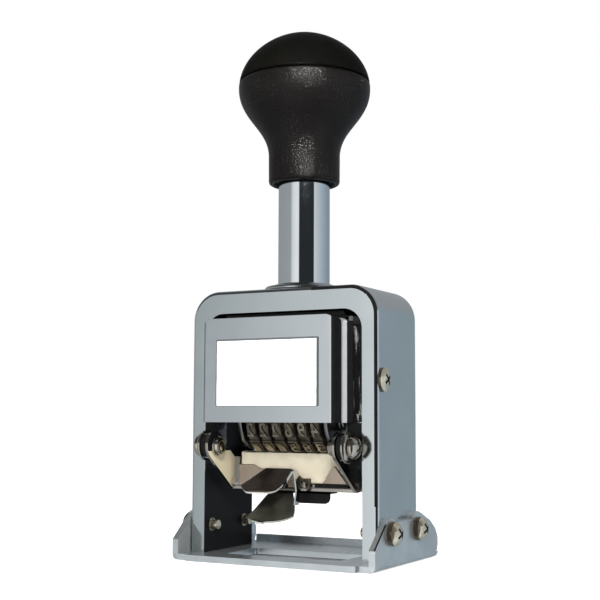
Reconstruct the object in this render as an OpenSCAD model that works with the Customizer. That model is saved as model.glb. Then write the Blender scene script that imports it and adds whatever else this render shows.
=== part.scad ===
// Hand-held automatic numbering machine: an inverted-U frame on a sheet base, a plunger that
// carries six number wheels down to the paper, and an ink pad that swings out of their way.
// Millimetres. +X right, +Y back, +Z up; the origin is the centre of the base's underside.

/* [Frame] */
// Width of the frame across both legs
frame_w = 63; // [60:0.5:78]
// Depth of the frame, front to back
frame_d = 28.4; // [28:0.2:36]
// Thickness of each leg
leg_t = 5; // [4:0.2:6]
// Thickness of the top bar
top_t = 7; // [6:0.2:10]
// Radius of the outer top corners
corner_r = 9; // [7:0.5:11]
// Radius of the window's top corners
window_r = 6; // [4:0.5:7]
// Rounding of the frame's outer edges
edge_r = 1.2; // [0.6:0.1:2]

/* [Base] */
// Thickness of the base sheet
base_t = 1.75; // [1.4:0.05:2.2]
// Reach of the base ahead of the frame
base_front = 8; // [7:0.2:12]
// Reach of the base behind the frame
base_rear = 11.3; // [9:0.1:15]
// Thickness of each upturned ear
ear_t = 2; // [1.5:0.1:2.5]
// Distance of each ear screw from the middle of the ear
ear_screw_y = 9.5; // [8:0.1:9.8]
// Height of the ear screws
ear_screw_z = 9.8; // [8.5:0.1:12]
// Height of the upturned rear edge
flange_h = 3.9; // [3:0.1:6]
// Width of the printing window in the base
slot_w = 38; // [36:0.5:44]
// Depth of the printing window in the base
slot_d = 17.5; // [16:0.5:18]

/* [Plunger] */
// Travel of the plunger
stroke = 31.2; // [26:0.1:37]
// Diameter of the plunger tube
tube_d = 16; // [14:0.2:17]
// Wall of the plunger tube
tube_wall = 1.4; // [1:0.1:2]
// Diameter of the collar's flange
collar_d = 24.2; // [22:0.2:26]
// Height of the collar above the frame
collar_h = 2.2; // [1.9:0.1:3]

/* [Knob] */
// Largest diameter of the knob
knob_d = 41.4; // [36:0.2:50]
// Height of the knob
knob_h = 48.5; // [44:0.5:58]
// Diameter of the knob's neck
neck_d = 22.3; // [21:0.1:26]

/* [Number wheels] */
// Radius from the axle to the type faces
type_r = 10.5; // [9.5:0.1:12]
// Distance from one wheel to the next
wheel_pitch = 4.35; // [4.1:0.05:4.5]
// Thickness of each ratchet
ratchet_t = 0.9; // [0.8:0.05:1]
// Radius of the ratchet teeth
ratchet_r = 7.9; // [7:0.1:8.1]
// Radius of the wheel axle
axle_r = 2; // [1.6:0.1:2.4]

/* [Front cover] */
// Reach of the cover ahead of the frame
cover_out = 8.9; // [7:0.1:12]
// Gap between the cover and each leg
side_slot = 4.7; // [4.4:0.1:6]
// Wall of the cover
cover_wall = 1; // [0.8:0.1:1.2]
// Width of the label plate
label_w = 34; // [28:0.5:36]
// Height of the label plate
label_h = 19.8; // [15:0.2:24]

/* [Ink pad] */
// Distance of the pad pivots ahead of the frame
pivot_out = 3.4; // [3.4:0.1:5]
// Height of the pad pivots above the lowest type face
pivot_rise = 2.5; // [2:0.1:3]
// Thickness of the carrier sheet
sheet_t = 1; // [0.8:0.1:1.2]
// Half width of the felt pad
felt_half_w = 16.9; // [15:0.1:17]
// Height of the felt pad
felt_h = 8.3; // [6:0.1:8.6]
// Depth of the felt pad
felt_d = 12.1; // [10:0.1:13]

/* [Hidden] */
$fn = 64;

fit = 0.02;         // radial clearance of fixed pieces
run = 0.05;         // radial clearance of running fits
gap = 0.3;          // free clearance between moving pieces
in_w = frame_w / 2 - leg_t;              // inner half width of the frame
half_d = frame_d / 2;
wheel_count = 6;
digits = 10;
paper_gap = 0.3;                         // type faces to the underside at full travel
wheel_y = -4.5;                          // the axle lies ahead of the plunger's axis
axle_z = type_r + stroke + paper_gap;
type_z = axle_z - type_r;                // lowest type face at rest

// Carriage, built up from the axle
head_z = axle_z + type_r + 4.5;          // underside of the carriage head
head_h = 15.2;
head_top = head_z + head_h;
head_front = wheel_y - 8.5;
head_rear = 9.5;
crosshead_t = 1.5;
window_z = head_top + crosshead_t + gap; // underside of the top bar
frame_h = window_z + top_t;
wheels_w = wheel_count * wheel_pitch;
wheel_gap = 0.35;
plate_x = wheels_w / 2 + 0.85;           // inner face of the carriage sides
plate_t = 1.2;
yoke_x = plate_x + plate_t + gap;        // inner face of the feed yoke's arms
yoke_t = 1;
axle_end = yoke_x + yoke_t + 1.2;

// Front cover and its brackets
cover_half = in_w - side_slot;
cover_front = -half_d - cover_out;
cover_top = window_z - 2.3;
cover_r = 2.4;                           // top corners, seen from the front
cover_edge = 1;                          // upright edges
bracket_front = -half_d + 1;
bracket_rear = -5;
side_screw_y = -10.6;
side_screw_z = axle_z + 11.3;
screw_r = 1.5;                           // shank of the side and pivot screws
side_head_r = 3.5;
side_head_h = 1.8;
sink_h = 2.4;                            // depth of the left leg's screw pocket
sunk_head_r = 2.5;

// Pad pivots and carrier
pivot_y = -half_d - pivot_out;
pivot_z = type_z + pivot_rise;
lug_low = pivot_z - 5.7;
lug_top = pivot_z + 7;
lug_d = 4.7;
ear_plate = 1.6;                         // thickness of the pivot ear
arm_x = cover_half - gap;                // outer face of the carrier's arms
hub_r = 4.4;
boss_r = 4.6;
felt_top = type_z - gap;
tray_z = felt_top - felt_h - 0.8 - 0.1;  // underside of the tray
tray_t = 0.8;
floor_z = tray_z - gap - sheet_t;        // underside of the carrier's floor
tray_half = arm_x - sheet_t - 0.7;
felt_front = wheel_y - 4.5;
tray_front = felt_front - 0.1;
tray_rear = felt_front + felt_d + 0.9;

// Guide rods and springs at the back corners
rod_r = 1.5;
rod_x = in_w - 2.4;
rod_y = 10.3;
rear_lug_z = type_z - 3;
rear_lug_h = 4.5;
spring_low = rear_lug_z + rear_lug_h;
rod_low = spring_low - 2.5;
rod_len = window_z + 2.3 - rod_low;
spring_r = 1.95;
spring_wire = 0.3;
spring_turns = 10;

// Feed motion
pawl_r = type_r + 3;
pawl_angle = 45;
feed_swing = 40;
roller_path_r = 12;
roller_angle = 80;
roller_r = 1.2;
cam_t = 1.6;
cam_rear = 7;

// Base
base_y0 = -half_d - base_front;
base_y1 = half_d + base_rear;
ear_y0 = base_y0 + 1.4;
ear_x = frame_w / 2 + ear_t;             // outer face of the ears
label_t = 0.4;
center_y = (base_y1 + cover_front - label_t) / 2; // middle of the whole depth
base_screw_r = 2;
head_r = 3.45;
screw_head_h = 3.2;

// Collar, tube and knob
tube_r = tube_d / 2;
tube_low = head_top - 6.2;
collar_top = frame_h + collar_h;
thread_r = tube_r + 2;
knob_low = collar_top + stroke + gap;
knob_top = knob_low + knob_h;
knob_r = knob_d / 2;
knob_mid = knob_low + knob_h * 0.63;    // height of the knob's widest ring
seam_z = knob_mid + knob_h * 0.04;
tube_top = knob_low + knob_h * 0.46;

// ---------- shared shapes ----------

// Puts the origin under the middle of the object
module placed() {
  translate([0, -center_y, 0]) children();
}

// Rectangle centred on the origin with round corners
module rounded_rect(w, h, r) {
  square([w - 2 * r, h], center = true);
  square([w, h - 2 * r], center = true);
  for (x = [-1, 1], y = [-1, 1]) translate([x * (w / 2 - r), y * (h / 2 - r)]) circle(r);
}

// Extrudes a (Y, Z) outline along X
module along_x(x0, x1) {
  translate([x0, 0, 0]) rotate([90, 0, 90]) linear_extrude(x1 - x0) children();
}

// Extrudes an (X, Z) outline along Y
module along_y(y0, y1) {
  translate([0, y1, 0]) rotate([90, 0, 0]) linear_extrude(y1 - y0) children();
}

module rod_along_x(r, x0, x1, y, z) {
  translate([x0, y, z]) rotate([0, 90, 0]) cylinder(r = r, h = x1 - x0);
}

module both_sides() {
  children();
  mirror([1, 0, 0]) children();
}

// Pan head with a cross recess on a plain shank; the head's seat is at z = 0
module pan_screw(hr, hh, sr, sl) {
  dome = hh * 0.55;
  dome_r = (hr * hr + dome * dome) / (2 * dome);
  difference() {
    intersection() {
      cylinder(r = hr, h = hh);
      translate([0, 0, hh - dome_r]) sphere(dome_r);
    }
    for (a = [0, 90])
      rotate(a + 35) translate([-hr * 0.55, -hr * 0.11, hh - 1]) cube([hr * 1.1, hr * 0.22, 2]);
  }
  translate([0, 0, -sl]) cylinder(r = sr, h = sl + 0.1);
}

// Points of a cubic curve
function curve(p0, p1, p2, p3, n) = [for (i = [0 : n]) let (t = i / n, u = 1 - t)
  u * u * u * p0 + 3 * u * u * t * p1 + 3 * u * t * t * p2 + t * t * t * p3];

// Tangent point on a circle at c of radius r seen from p; side is 1 or -1
function tangent(c, r, p, side) = let (
  v = p - c, d = norm(v), a = atan2(v[1], v[0]) + side * acos(r / d)
) c + r * [cos(a), sin(a)];

// Round wire wound n turns about +Z, from the origin up to height h
module coil(r, wire, n, h) {
  steps = 12;
  sides = 6;
  rings = n * steps;
  points = [for (i = [0 : rings], j = [0 : sides - 1]) let (
    a = 360 * i / steps, b = 360 * j / sides, q = r + wire * cos(b)
  ) [q * cos(a), q * sin(a), wire + (h - 2 * wire) * i / rings + wire * sin(b)]];
  walls = [for (i = [0 : rings - 1], j = [0 : sides - 1], half = [0, 1]) let (
    k = (j + 1) % sides, a = i * sides, b = a + sides
  ) half == 0 ? [a + j, b + j, b + k] : [a + j, b + k, a + k]];
  ends = [[for (j = [0 : sides - 1]) j], [for (j = [sides - 1 : -1 : 0]) rings * sides + j]];
  polyhedron(points, concat(walls, ends), convexity = 4);
}

// ---------- frame and base ----------

module window_outline(low) {
  mid = (window_z + low) / 2;
  translate([0, mid]) {
    rounded_rect(2 * in_w, window_z - low, window_r);
    translate([-in_w, low - mid]) square([2 * in_w, (window_z - low) / 2]);
  }
}

// Outer body of the frame with its edges rounded all the way round
module frame_envelope() {
  bend_x = frame_w / 2 - corner_r;
  bend_z = frame_h - corner_r;
  linear_extrude(bend_z) rounded_rect(frame_w, frame_d, edge_r);
  along_x(-bend_x, bend_x)
    translate([0, frame_h - bend_z / 2]) rounded_rect(frame_d, bend_z, edge_r);
  both_sides()
    translate([bend_x, 0, bend_z]) rotate([90, 0, 0]) rotate_extrude(angle = 90)
      intersection() {
        translate([0, -half_d]) square([corner_r, frame_d]);
        rounded_rect(2 * corner_r, frame_d, edge_r);
      }
}

module lug_profile() {
  difference() {
    translate([cover_half, lug_low - 2.4]) square([in_w - cover_half + 0.5, lug_top - lug_low + 2.4]);
    translate([cover_half - 1, lug_low - 2.5])
      square([in_w - cover_half - 1.4, 2.5]);
    translate([in_w - 2.4, lug_low - 2.4]) circle(2.4);
  }
}

module frame() {
  color("silver")
    difference() {
      union() {
        difference() {
          intersection() {
            frame_envelope();
            translate([-frame_w, -frame_d, base_t]) cube([2 * frame_w, 2 * frame_d, frame_h]);
          }
          along_y(-frame_d, frame_d) window_outline(-1);
        }
        both_sides() {
          along_y(-half_d, -half_d + lug_d) lug_profile();
          rod_along_x(4, cover_half, cover_half + ear_plate, pivot_y, pivot_z);
          translate([cover_half, pivot_y, pivot_z - 4]) cube([ear_plate, pivot_out + 0.5, 8]);
          translate([rod_x - 2.2, rod_y - 3, rear_lug_z])
            cube([in_w - rod_x + 2.7, 6, rear_lug_h]);
        }
      }
      translate([0, 0, window_z - 1]) cylinder(r = thread_r + fit, h = top_t + 2);
      rod_along_x(sunk_head_r + 0.15, -frame_w, -frame_w / 2 + sink_h, side_screw_y, side_screw_z);
      both_sides() {
        rod_along_x(screw_r + fit, cover_half - 1, cover_half + 3, pivot_y, pivot_z);
        rod_along_x(boss_r + fit, cover_half + ear_plate, in_w, pivot_y, pivot_z);
        rod_along_x(screw_r + fit, in_w - 1, frame_w, side_screw_y, side_screw_z);
        for (s = [-1, 1])
          rod_along_x(base_screw_r + fit, in_w - 1, frame_w, s * ear_screw_y, ear_screw_z);
        translate([rod_x, rod_y, rod_low]) cylinder(r = rod_r + fit, h = rod_len + 0.2);
        translate([cover_half - 2, rod_y - 3.2, window_z - 8])
          cube([in_w - cover_half + 2, half_d + 1 - rod_y + 3.2, 8]);
      }
    }
}

module ear_outline() {
  lobe_r = 4.4;
  rear_lobe = 0.7;
  top_z = ear_screw_z + 3;
  union() {
    polygon([
      [ear_y0, 0], [ear_y0, 6], [-ear_screw_y - 2.7, top_z + 0.5], [-ear_screw_y, top_z],
      [ear_screw_y, top_z], [ear_screw_y + 2.9, top_z + 1.4], [base_y1 - 6.1, 11.6],
      [base_y1 - 1.9, 8.9], [base_y1, 6.2], [base_y1, 3.5], [base_y1 - 1.3, 1.3], [base_y1 - 4, 0]
    ]);
    translate([-ear_screw_y, ear_screw_z]) circle(lobe_r);
    translate([ear_screw_y, ear_screw_z]) circle(lobe_r + rear_lobe);
  }
}

module base_plate() {
  wide = 2 * ear_x;
  nose = 0.42 * wide;
  color("lightsteelblue")
    difference() {
      intersection() {
        union() {
          translate([-ear_x, ear_y0, 0]) cube([wide, base_y1 - ear_y0, base_t]);
          translate([-nose, base_y0, 0]) cube([2 * nose, 3, base_t]);
          translate([-frame_w / 2 + 1, base_y1 - 1.7, 0]) cube([frame_w - 2, 1.7, flange_h]);
          both_sides() along_x(frame_w / 2, ear_x) ear_outline();
        }
        along_y(base_y0 - 1, base_y1 + 1) translate([0, 20]) rounded_rect(wide, 40, 1.6);
      }
      translate([0, wheel_y, -1]) linear_extrude(base_t + 2) rounded_rect(slot_w, slot_d, 1);
      both_sides() for (s = [-1, 1])
        rod_along_x(base_screw_r + 0.15, frame_w / 2 - 1, ear_x + 1, s * ear_screw_y, ear_screw_z);
    }
}

module base_screws() {
  color("gainsboro") both_sides() for (s = [-1, 1])
    translate([ear_x, s * ear_screw_y, ear_screw_z]) rotate([0, 90, 0]) {
      pan_screw(head_r, screw_head_h, base_screw_r, ear_t + leg_t - 0.5);
      translate([0, 0, -ear_t - leg_t - 2.2]) cylinder(r = 1.4, h = 2.8);
    }
}

module collar_bush() {
  flange_r = collar_d / 2;
  color("silver") rotate_extrude() polygon([
    [tube_r + run, window_z], [thread_r, window_z], [thread_r, frame_h],
    [flange_r - 0.4, frame_h], [flange_r, frame_h + 0.4], [flange_r, frame_h + 1],
    [flange_r - 0.5, frame_h + 1.5], [tube_r + 1.3, collar_top - 0.5], [tube_r + 1, collar_top],
    [tube_r + run, collar_top]
  ]);
}

// ---------- front cover ----------

module cover_block(shrink) {
  w = 2 * (cover_half - shrink);
  y0 = cover_front + shrink;
  tall = cover_top - shrink - lug_top;
  long = bracket_rear - 1 - y0;
  r = cover_r - shrink;
  edge = max(cover_edge - shrink, 0.2);
  low = shrink > 0 ? 1 : 0;
  intersection() {
    translate([0, y0 + long / 2, lug_top - low]) linear_extrude(tall + low) {
      rounded_rect(w, long, edge);
      translate([-w / 2, 0]) square([w, long / 2]);
    }
    along_y(y0 - 1, bracket_rear) translate([0, cover_top - shrink - tall]) rounded_rect(w, 2 * tall, r);
  }
}

module front_cover() {
  flare_w = 2;
  flare_d = 2.6;
  flare_top = cover_top - 1.4;
  color("silver") difference() {
    union() {
      cover_block(0);
      // flared rim along the rear edge of the side walls
      both_sides() translate([0, 0, lug_top]) linear_extrude(flare_top - lug_top) polygon([
        [cover_half - 0.5, -half_d - flare_d], [cover_half, -half_d - flare_d],
        [cover_half + flare_w, -half_d - 0.4], [cover_half + flare_w, -half_d], [cover_half - 0.5, -half_d]
      ]);
    }
    cover_block(cover_wall);
    translate([-cover_half, head_front - gap - 0.3, cover_top - cover_wall - 1])
      cube([2 * cover_half, frame_d, cover_wall + 2]);
    translate([-cover_half + cover_wall, bracket_rear - 1.5 - cover_wall, lug_top - 1])
      cube([2 * (cover_half - cover_wall), 5, cover_top]);
    both_sides() rod_along_x(screw_r + fit, cover_half - 2, cover_half + 1, side_screw_y, side_screw_z);
  }
}

module label_plate() {
  z = (lug_top + cover_top) / 2 - 0.8;
  color("white") along_y(cover_front - label_t, cover_front)
    translate([0, z]) rounded_rect(label_w, label_h, 0.4);
}

module cover_brackets() {
  color("dimgray") both_sides() difference() {
    along_y(bracket_front, bracket_rear) intersection() {
      window_outline(-1);
      translate([cover_half, lug_top + 0.1]) square([side_slot, window_z - lug_top - 2.3]);
    }
    translate([cover_half + 1.3, bracket_front - 1, lug_top + 2.5])
      cube([side_slot - 2.6, 1.9, cover_top - lug_top - 5]);
    rod_along_x(screw_r + fit, cover_half - 1, in_w + 1, side_screw_y, side_screw_z);
  }
}

// The right screw stands proud; the left one is sunk in its leg
module side_screws() {
  reach = leg_t + side_slot + cover_wall * 0.8;
  color("gainsboro") {
    translate([frame_w / 2, side_screw_y, side_screw_z]) rotate([0, 90, 0])
      pan_screw(side_head_r, side_head_h, screw_r, reach);
    translate([-frame_w / 2 + sink_h, side_screw_y, side_screw_z]) rotate([0, -90, 0])
      pan_screw(sunk_head_r, side_head_h, screw_r, reach - sink_h);
  }
}

// ---------- pad pivots ----------

module pivot_screws() {
  seat = cover_half + ear_plate + 1.4;
  color("gainsboro") both_sides() translate([seat, pivot_y, pivot_z]) rotate([0, 90, 0])
    pan_screw(3.3, 2.8, screw_r, seat - arm_x + 3.1);
}

module pivot_bosses() {
  seat = cover_half + ear_plate;
  color("gainsboro") both_sides() translate([seat, pivot_y, pivot_z]) rotate([0, 90, 0])
    rotate_extrude() polygon([
      [screw_r + fit, 0], [boss_r, 0], [boss_r, 0.6], [boss_r - 0.3, 1.05], [boss_r - 0.8, 1.3],
      [boss_r - 1.2, 1.4], [screw_r + fit, 1.4]
    ]);
}

module pivot_nuts() {
  low = arm_x - sheet_t - 0.2;
  color("gainsboro") both_sides() translate([low, pivot_y, pivot_z]) rotate([0, -90, 0])
    rotate_extrude() polygon([
      [screw_r + fit, 0], [2.95, 0], [2.95, 0.8], [2.5, 1], [2.5, 1.9], [2.2, 2.1], [screw_r + fit, 2.1]
    ]);
}

// ---------- guides, springs and feed cam ----------

module guide_rods() {
  color("gainsboro") both_sides() translate([rod_x, rod_y, rod_low]) cylinder(r = rod_r, h = rod_len);
}

module return_springs() {
  color("slategray") both_sides() translate([rod_x, rod_y, spring_low])
    coil(spring_r, spring_wire, spring_turns, head_top - spring_low);
}

// Path of the yoke's roller in the frame as the plunger goes down by s
function roller_at(s) = let (a = roller_angle - feed_swing * s / stroke)
  [wheel_y + roller_path_r * cos(a), axle_z - s + roller_path_r * sin(a)];

module cam_slot() {
  steps = 12;
  half = roller_r + gap;
  path = [for (i = [0 : steps]) roller_at(stroke * i / steps)];
  along = [for (i = [0 : steps]) let (v = path[min(i + 1, steps)] - path[max(i - 1, 0)]) v / norm(v)];
  left = [for (i = [0 : steps]) path[i] + half * [-along[i][1], along[i][0]]];
  right = [for (i = [steps : -1 : 0]) path[i] - half * [-along[i][1], along[i][0]]];
  polygon(concat(left, right));
  for (p = [path[0], path[steps]]) translate(p) circle(half);
}

function cam_screw(i) = i == 0
  ? [roller_at(0)[0] + 5.6, roller_at(0)[1] - 3]
  : [roller_at(stroke)[0] - 5.6, roller_at(stroke)[1] + 3];

module feed_cam_plate() {
  low = roller_at(stroke)[1] - 4.5;
  high = roller_at(0)[1] + 4;
  front = bracket_rear + 0.2;
  color("dimgray") difference() {
    along_x(in_w - cam_t, in_w) difference() {
      translate([(front + cam_rear) / 2, (low + high) / 2]) rounded_rect(cam_rear - front, high - low, 2);
      cam_slot();
    }
    for (i = [0, 1]) rod_along_x(0.9 + fit, in_w - cam_t - 1, in_w + 1, cam_screw(i)[0], cam_screw(i)[1]);
  }
}

module cam_plate_screws() {
  color("gainsboro") for (i = [0, 1])
    translate([in_w - cam_t, cam_screw(i)[0], cam_screw(i)[1]]) rotate([0, -90, 0])
      pan_screw(1.6, 0.8, 0.9, cam_t);
}

// ---------- knob and tube ----------

function dome_r_at(t) = knob_r * pow(max(1 - t * t, 0), 0.559);
dome_h = knob_top - knob_mid;
dome_pts = [for (i = [0 : 14]) let (t = sin(90 * i / 14), z = knob_mid + dome_h * t) [dome_r_at(t), z]];

function knob_flank() = curve(
  [knob_r, knob_mid], [knob_r, knob_mid - 0.19 * knob_h],
  [neck_d / 2 + 0.6, knob_mid - 0.251 * knob_h], [neck_d / 2, knob_mid - 0.433 * knob_h], 12);

module knob_body() {
  shoulder = knob_r * 0.72;
  up = [for (p = dome_pts) if (p[1] < seam_z) p];
  color("#262526") rotate_extrude() difference() {
    polygon(concat(
      [[0, seam_z], [dome_r_at((seam_z - knob_mid) / dome_h) - 0.25, seam_z]],
      [for (i = [len(up) - 1 : -1 : 1]) up[i]],
      knob_flank(),
      [[neck_d / 2 - 0.2, knob_low + 1], [neck_d / 2 - 0.9, knob_low], [0, knob_low]]
    ));
    translate([0, knob_low - 1]) square([tube_r + fit, tube_top - knob_low + 1]);
    translate([0, seam_z - 4.5]) square([shoulder, 5]);
    translate([0, knob_low]) square([2.6, knob_h]);
  }
}

module knob_cap() {
  wall = 1.8;
  lip = knob_r * 0.72 - 0.15;
  rise = [for (p = dome_pts) if (p[1] > seam_z + 0.3) p];
  inside = [for (i = [len(rise) - 1 : -1 : 0])
    [rise[i][0] * (1 - wall / knob_r), knob_mid + (rise[i][1] - knob_mid) * 0.9]];
  color("#201f20") rotate_extrude() intersection() {
    square([knob_r + 1, knob_top + 1]);
    union() {
      polygon(concat([[dome_r_at((seam_z - knob_mid) / dome_h) - 0.25, seam_z]], rise, inside,
        [[lip - 0.2, seam_z + 0.6], [lip - 0.2, seam_z]]));
      translate([lip - 1.4, seam_z - 2.5]) square([1.4, 4.2]);
    }
  }
}

module knob_screw() {
  color("gainsboro") translate([0, 0, seam_z - 4.5])
    pan_screw(4.6, 2.6, 2.5, seam_z - 4.5 - tube_top + 7);
}

module tube_plug() {
  color("gainsboro") difference() {
    translate([0, 0, tube_top - 8]) cylinder(r = tube_r - tube_wall - fit, h = 8);
    translate([0, 0, tube_top - 9]) cylinder(r = 2.5 + fit, h = 10);
  }
}

module plunger_tube() {
  color("silver") difference() {
    translate([0, 0, tube_low]) cylinder(r = tube_r, h = tube_top - tube_low - fit);
    translate([0, 0, tube_low - 1]) cylinder(r = tube_r - tube_wall, h = knob_top);
  }
}

// ---------- carriage ----------

module crosshead() {
  half = cover_half - cover_wall - 0.6;
  arm_y0 = cam_rear + 0.6;
  arm_y1 = rod_y + 2.7;
  color("gray") difference() {
    translate([0, 0, head_top]) linear_extrude(crosshead_t) {
      translate([-half, head_front + 0.2]) square([2 * half, arm_y1 - head_front - 0.2]);
      translate([0, (arm_y0 + arm_y1) / 2]) rounded_rect(2 * (in_w - 0.4), arm_y1 - arm_y0, 1.2);
    }
    translate([0, 0, head_top - 1]) cylinder(r = tube_r + fit, h = 4);
    both_sides() translate([rod_x, rod_y, head_top - 1]) cylinder(r = rod_r + run, h = 4);
    for (p = crosshead_screw_at) translate([p[0], p[1], head_top - 1]) cylinder(r = 1.25 + fit, h = 4);
    both_sides() translate([half - 2.2, wheel_y + 2, head_top - 1]) cylinder(r = 3.4, h = 4);
  }
}

crosshead_screw_at = [for (x = [-1, 1], y = [head_front + 2.8, head_rear - 2]) [x * (plate_x - 2.8), y]];

module crosshead_screws() {
  color("gainsboro") for (p = crosshead_screw_at)
    translate([p[0], p[1], head_top + crosshead_t - 1.4]) {
      cylinder(r = 1.25, h = 1.4);
      translate([0, 0, -4.1]) cylinder(r = 1.25, h = 4.2);
    }
}

module carriage_head() {
  wide = 2 * plate_x;
  color("#303336") difference() {
    translate([-plate_x, head_front + 0.5, head_z]) cube([wide, head_rear - head_front - 0.5, head_h]);
    translate([0, 0, tube_low]) cylinder(r = tube_r + fit, h = head_h);
    for (p = crosshead_screw_at) translate([p[0], p[1], head_top - 5]) cylinder(r = 1.25 + fit, h = 6);
    translate([-plate_x + 2.5, head_front - 1, head_z + 2.5]) cube([wide - 5, 2.6, head_h - 6]);
    translate([0, head_rear + 1, dial_z]) rotate([90, 0, 0]) cylinder(r = 1.5 + run, h = 6);
  }
}

module carriage_side() {
  waist = wheel_y + 7.7;
  x1 = plate_x + plate_t;
  color("gray") difference() {
    union() {
      rod_along_x(type_r - 1.2, plate_x, x1, wheel_y, axle_z);
      along_x(plate_x, x1) polygon([
        [head_front, axle_z - 2], [head_front, head_top], [head_rear, head_top],
        [head_rear, head_z - 2], [waist + 1.5, head_z - 2], [waist, head_z - 3.5], [waist, axle_z - 2]
      ]);
    }
    rod_along_x(axle_r + fit, 0, frame_w, wheel_y, axle_z);
    rod_along_x(2.2, 0, frame_w, head_front + 5, head_z + 5);
    rod_along_x(1.6, 0, frame_w, head_rear - 4, head_z + 5);
  }
}

module carriage_side_right() {
  carriage_side();
}

module carriage_side_left() {
  mirror([1, 0, 0]) carriage_side();
}

module wheel_axle() {
  color("gainsboro") difference() {
    rod_along_x(axle_r, -axle_end, axle_end, wheel_y, axle_z);
    both_sides() translate([yoke_x + yoke_t + 0.25, wheel_y, axle_z]) rotate([0, 90, 0])
      difference() {
        cylinder(r = axle_r + 1, h = 0.6);
        translate([0, 0, -1]) cylinder(r = axle_r - 0.4, h = 3);
      }
  }
}

module axle_clips() {
  color("dimgray") both_sides() difference() {
    rod_along_x(3.4, yoke_x + yoke_t + 0.25, yoke_x + yoke_t + 0.85, wheel_y, axle_z);
    rod_along_x(axle_r - 0.4 + fit, yoke_x, axle_end + 1, wheel_y, axle_z);
    translate([yoke_x, wheel_y - 0.9, axle_z - 5]) cube([5, 1.8, 5]);
  }
}

module wheel_spacers() {
  color("gainsboro") both_sides() difference() {
    rod_along_x(3.6, wheels_w / 2 + 0.05, plate_x, wheel_y, axle_z);
    rod_along_x(axle_r + fit, 0, axle_end, wheel_y, axle_z);
  }
}

// Left edge of wheel i, counted from 0
function wheel_x(i) = -wheels_w / 2 + wheel_gap / 2 + i * wheel_pitch;
finger_t = 0.6;
function finger_x(i) = wheel_x(i) + (ratchet_t - wheel_gap) / 2 - finger_t / 2;

module detent_comb() {
  tip = axle_z + ratchet_r + 0.35;
  color("goldenrod") {
    translate([-wheels_w / 2, wheel_y - 4.5, head_z - 0.6]) cube([wheels_w, 8, 0.6]);
    for (i = [0 : wheel_count - 1]) along_x(finger_x(i), finger_x(i) + finger_t)
      polygon([
        [wheel_y - 0.9, head_z - 0.3], [wheel_y + 0.9, head_z - 0.3],
        [wheel_y + 0.5, tip + 0.5], [wheel_y, tip], [wheel_y - 0.5, tip + 0.5]
      ]);
  }
}

dial_z = head_z + 7;

module back_plate() {
  color("gray") difference() {
    along_y(head_rear, head_rear + 0.8) translate([0, head_z + 6]) rounded_rect(2 * plate_x - 1, 16, 1.5);
    translate([0, head_rear + 2, dial_z]) rotate([90, 0, 0]) cylinder(r = 1.5 + run, h = 4);
  }
}

module repeat_dial() {
  r = 5.6;
  color("silver") translate([0, head_rear + 0.8 + gap, dial_z]) rotate([-90, 0, 0]) {
    difference() {
      cylinder(r = r, h = 1.4);
      for (a = [0 : 30 : 359]) rotate(a) translate([r + 0.5, 0, -1]) cylinder(r = 0.9, h = 4);
    }
    translate([0, 0, 1.4]) intersection() {
      cylinder(r = r - 1.2, h = 1.1);
      translate([-r, -1.1, 0]) cube([2 * r, 2.2, 2]);
    }
    translate([0, 0, -0.8 - gap - 3.5]) cylinder(r = 1.5, h = 4.9);
  }
}

// ---------- number wheels ----------

// One number wheel about the X axis, with its ratchet on the left
module number_wheel(i) {
  drum_t = wheel_pitch - wheel_gap - ratchet_t;
  drum_r = type_r - 0.8;
  face_r = type_r - 0.35;
  block = 4.7;
  teeth = [for (k = [0 : digits - 1], s = [0, 1]) let (a = 36 * k + 33 * s, r = ratchet_r - 1.5 * (1 - s))
    r * [cos(a), sin(a)]];
  color("#5c5348") translate([wheel_x(i), wheel_y, axle_z]) rotate([0, 90, 0]) difference() {
    union() {
      linear_extrude(ratchet_t + 0.1) polygon(teeth);
      translate([0, 0, ratchet_t]) cylinder(r = drum_r, h = drum_t);
      for (k = [0 : digits - 1]) rotate(36 * k)
        translate([drum_r - 1.5, -block / 2, ratchet_t]) cube([face_r - drum_r + 1.5, block, drum_t]);
    }
    translate([0, 0, -1]) cylinder(r = axle_r + run, h = wheel_pitch + 2);
    translate([0, 0, ratchet_t + drum_t - 0.5]) difference() {
      cylinder(r = drum_r - 1.8, h = 1);
      translate([0, 0, -1]) cylinder(r = axle_r + 1.5, h = 3);
    }
  }
}

// ---------- feed ----------

function about_axle(r, a) = [wheel_y + r * cos(a), axle_z + r * sin(a)];
pawl_at = about_axle(pawl_r, pawl_angle);

// Arm from the axle out to a pin; r0 and r1 are its half widths at the two ends
module yoke_arm(to, r0, r1) {
  from = [wheel_y, axle_z];
  along = (to - from) / norm(to - from);
  across = [-along[1], along[0]];
  translate(to) circle(r1);
  polygon([
    tangent(from, r0, to, 1), tangent(from, r0, to, -1), to - r1 * across, to + r1 * across
  ]);
}

module feed_yoke() {
  color("gray") difference() {
    union() {
      both_sides() along_x(yoke_x, yoke_x + yoke_t) {
        translate([wheel_y, axle_z]) circle(3.8);
        yoke_arm(pawl_at, 3.6, 2.2);
      }
      along_x(yoke_x, yoke_x + yoke_t) yoke_arm(roller_at(0), 3.6, 2.2);
    }
    rod_along_x(axle_r + run, -frame_w, frame_w, wheel_y, axle_z);
    rod_along_x(1 + fit, -frame_w, frame_w, pawl_at[0], pawl_at[1]);
    rod_along_x(1 + fit, 0, frame_w, roller_at(0)[0], roller_at(0)[1]);
  }
}

module pawl_pin() {
  color("gainsboro") rod_along_x(1, -yoke_x - yoke_t - 0.4, yoke_x + yoke_t + 0.4, pawl_at[0], pawl_at[1]);
}

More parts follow.
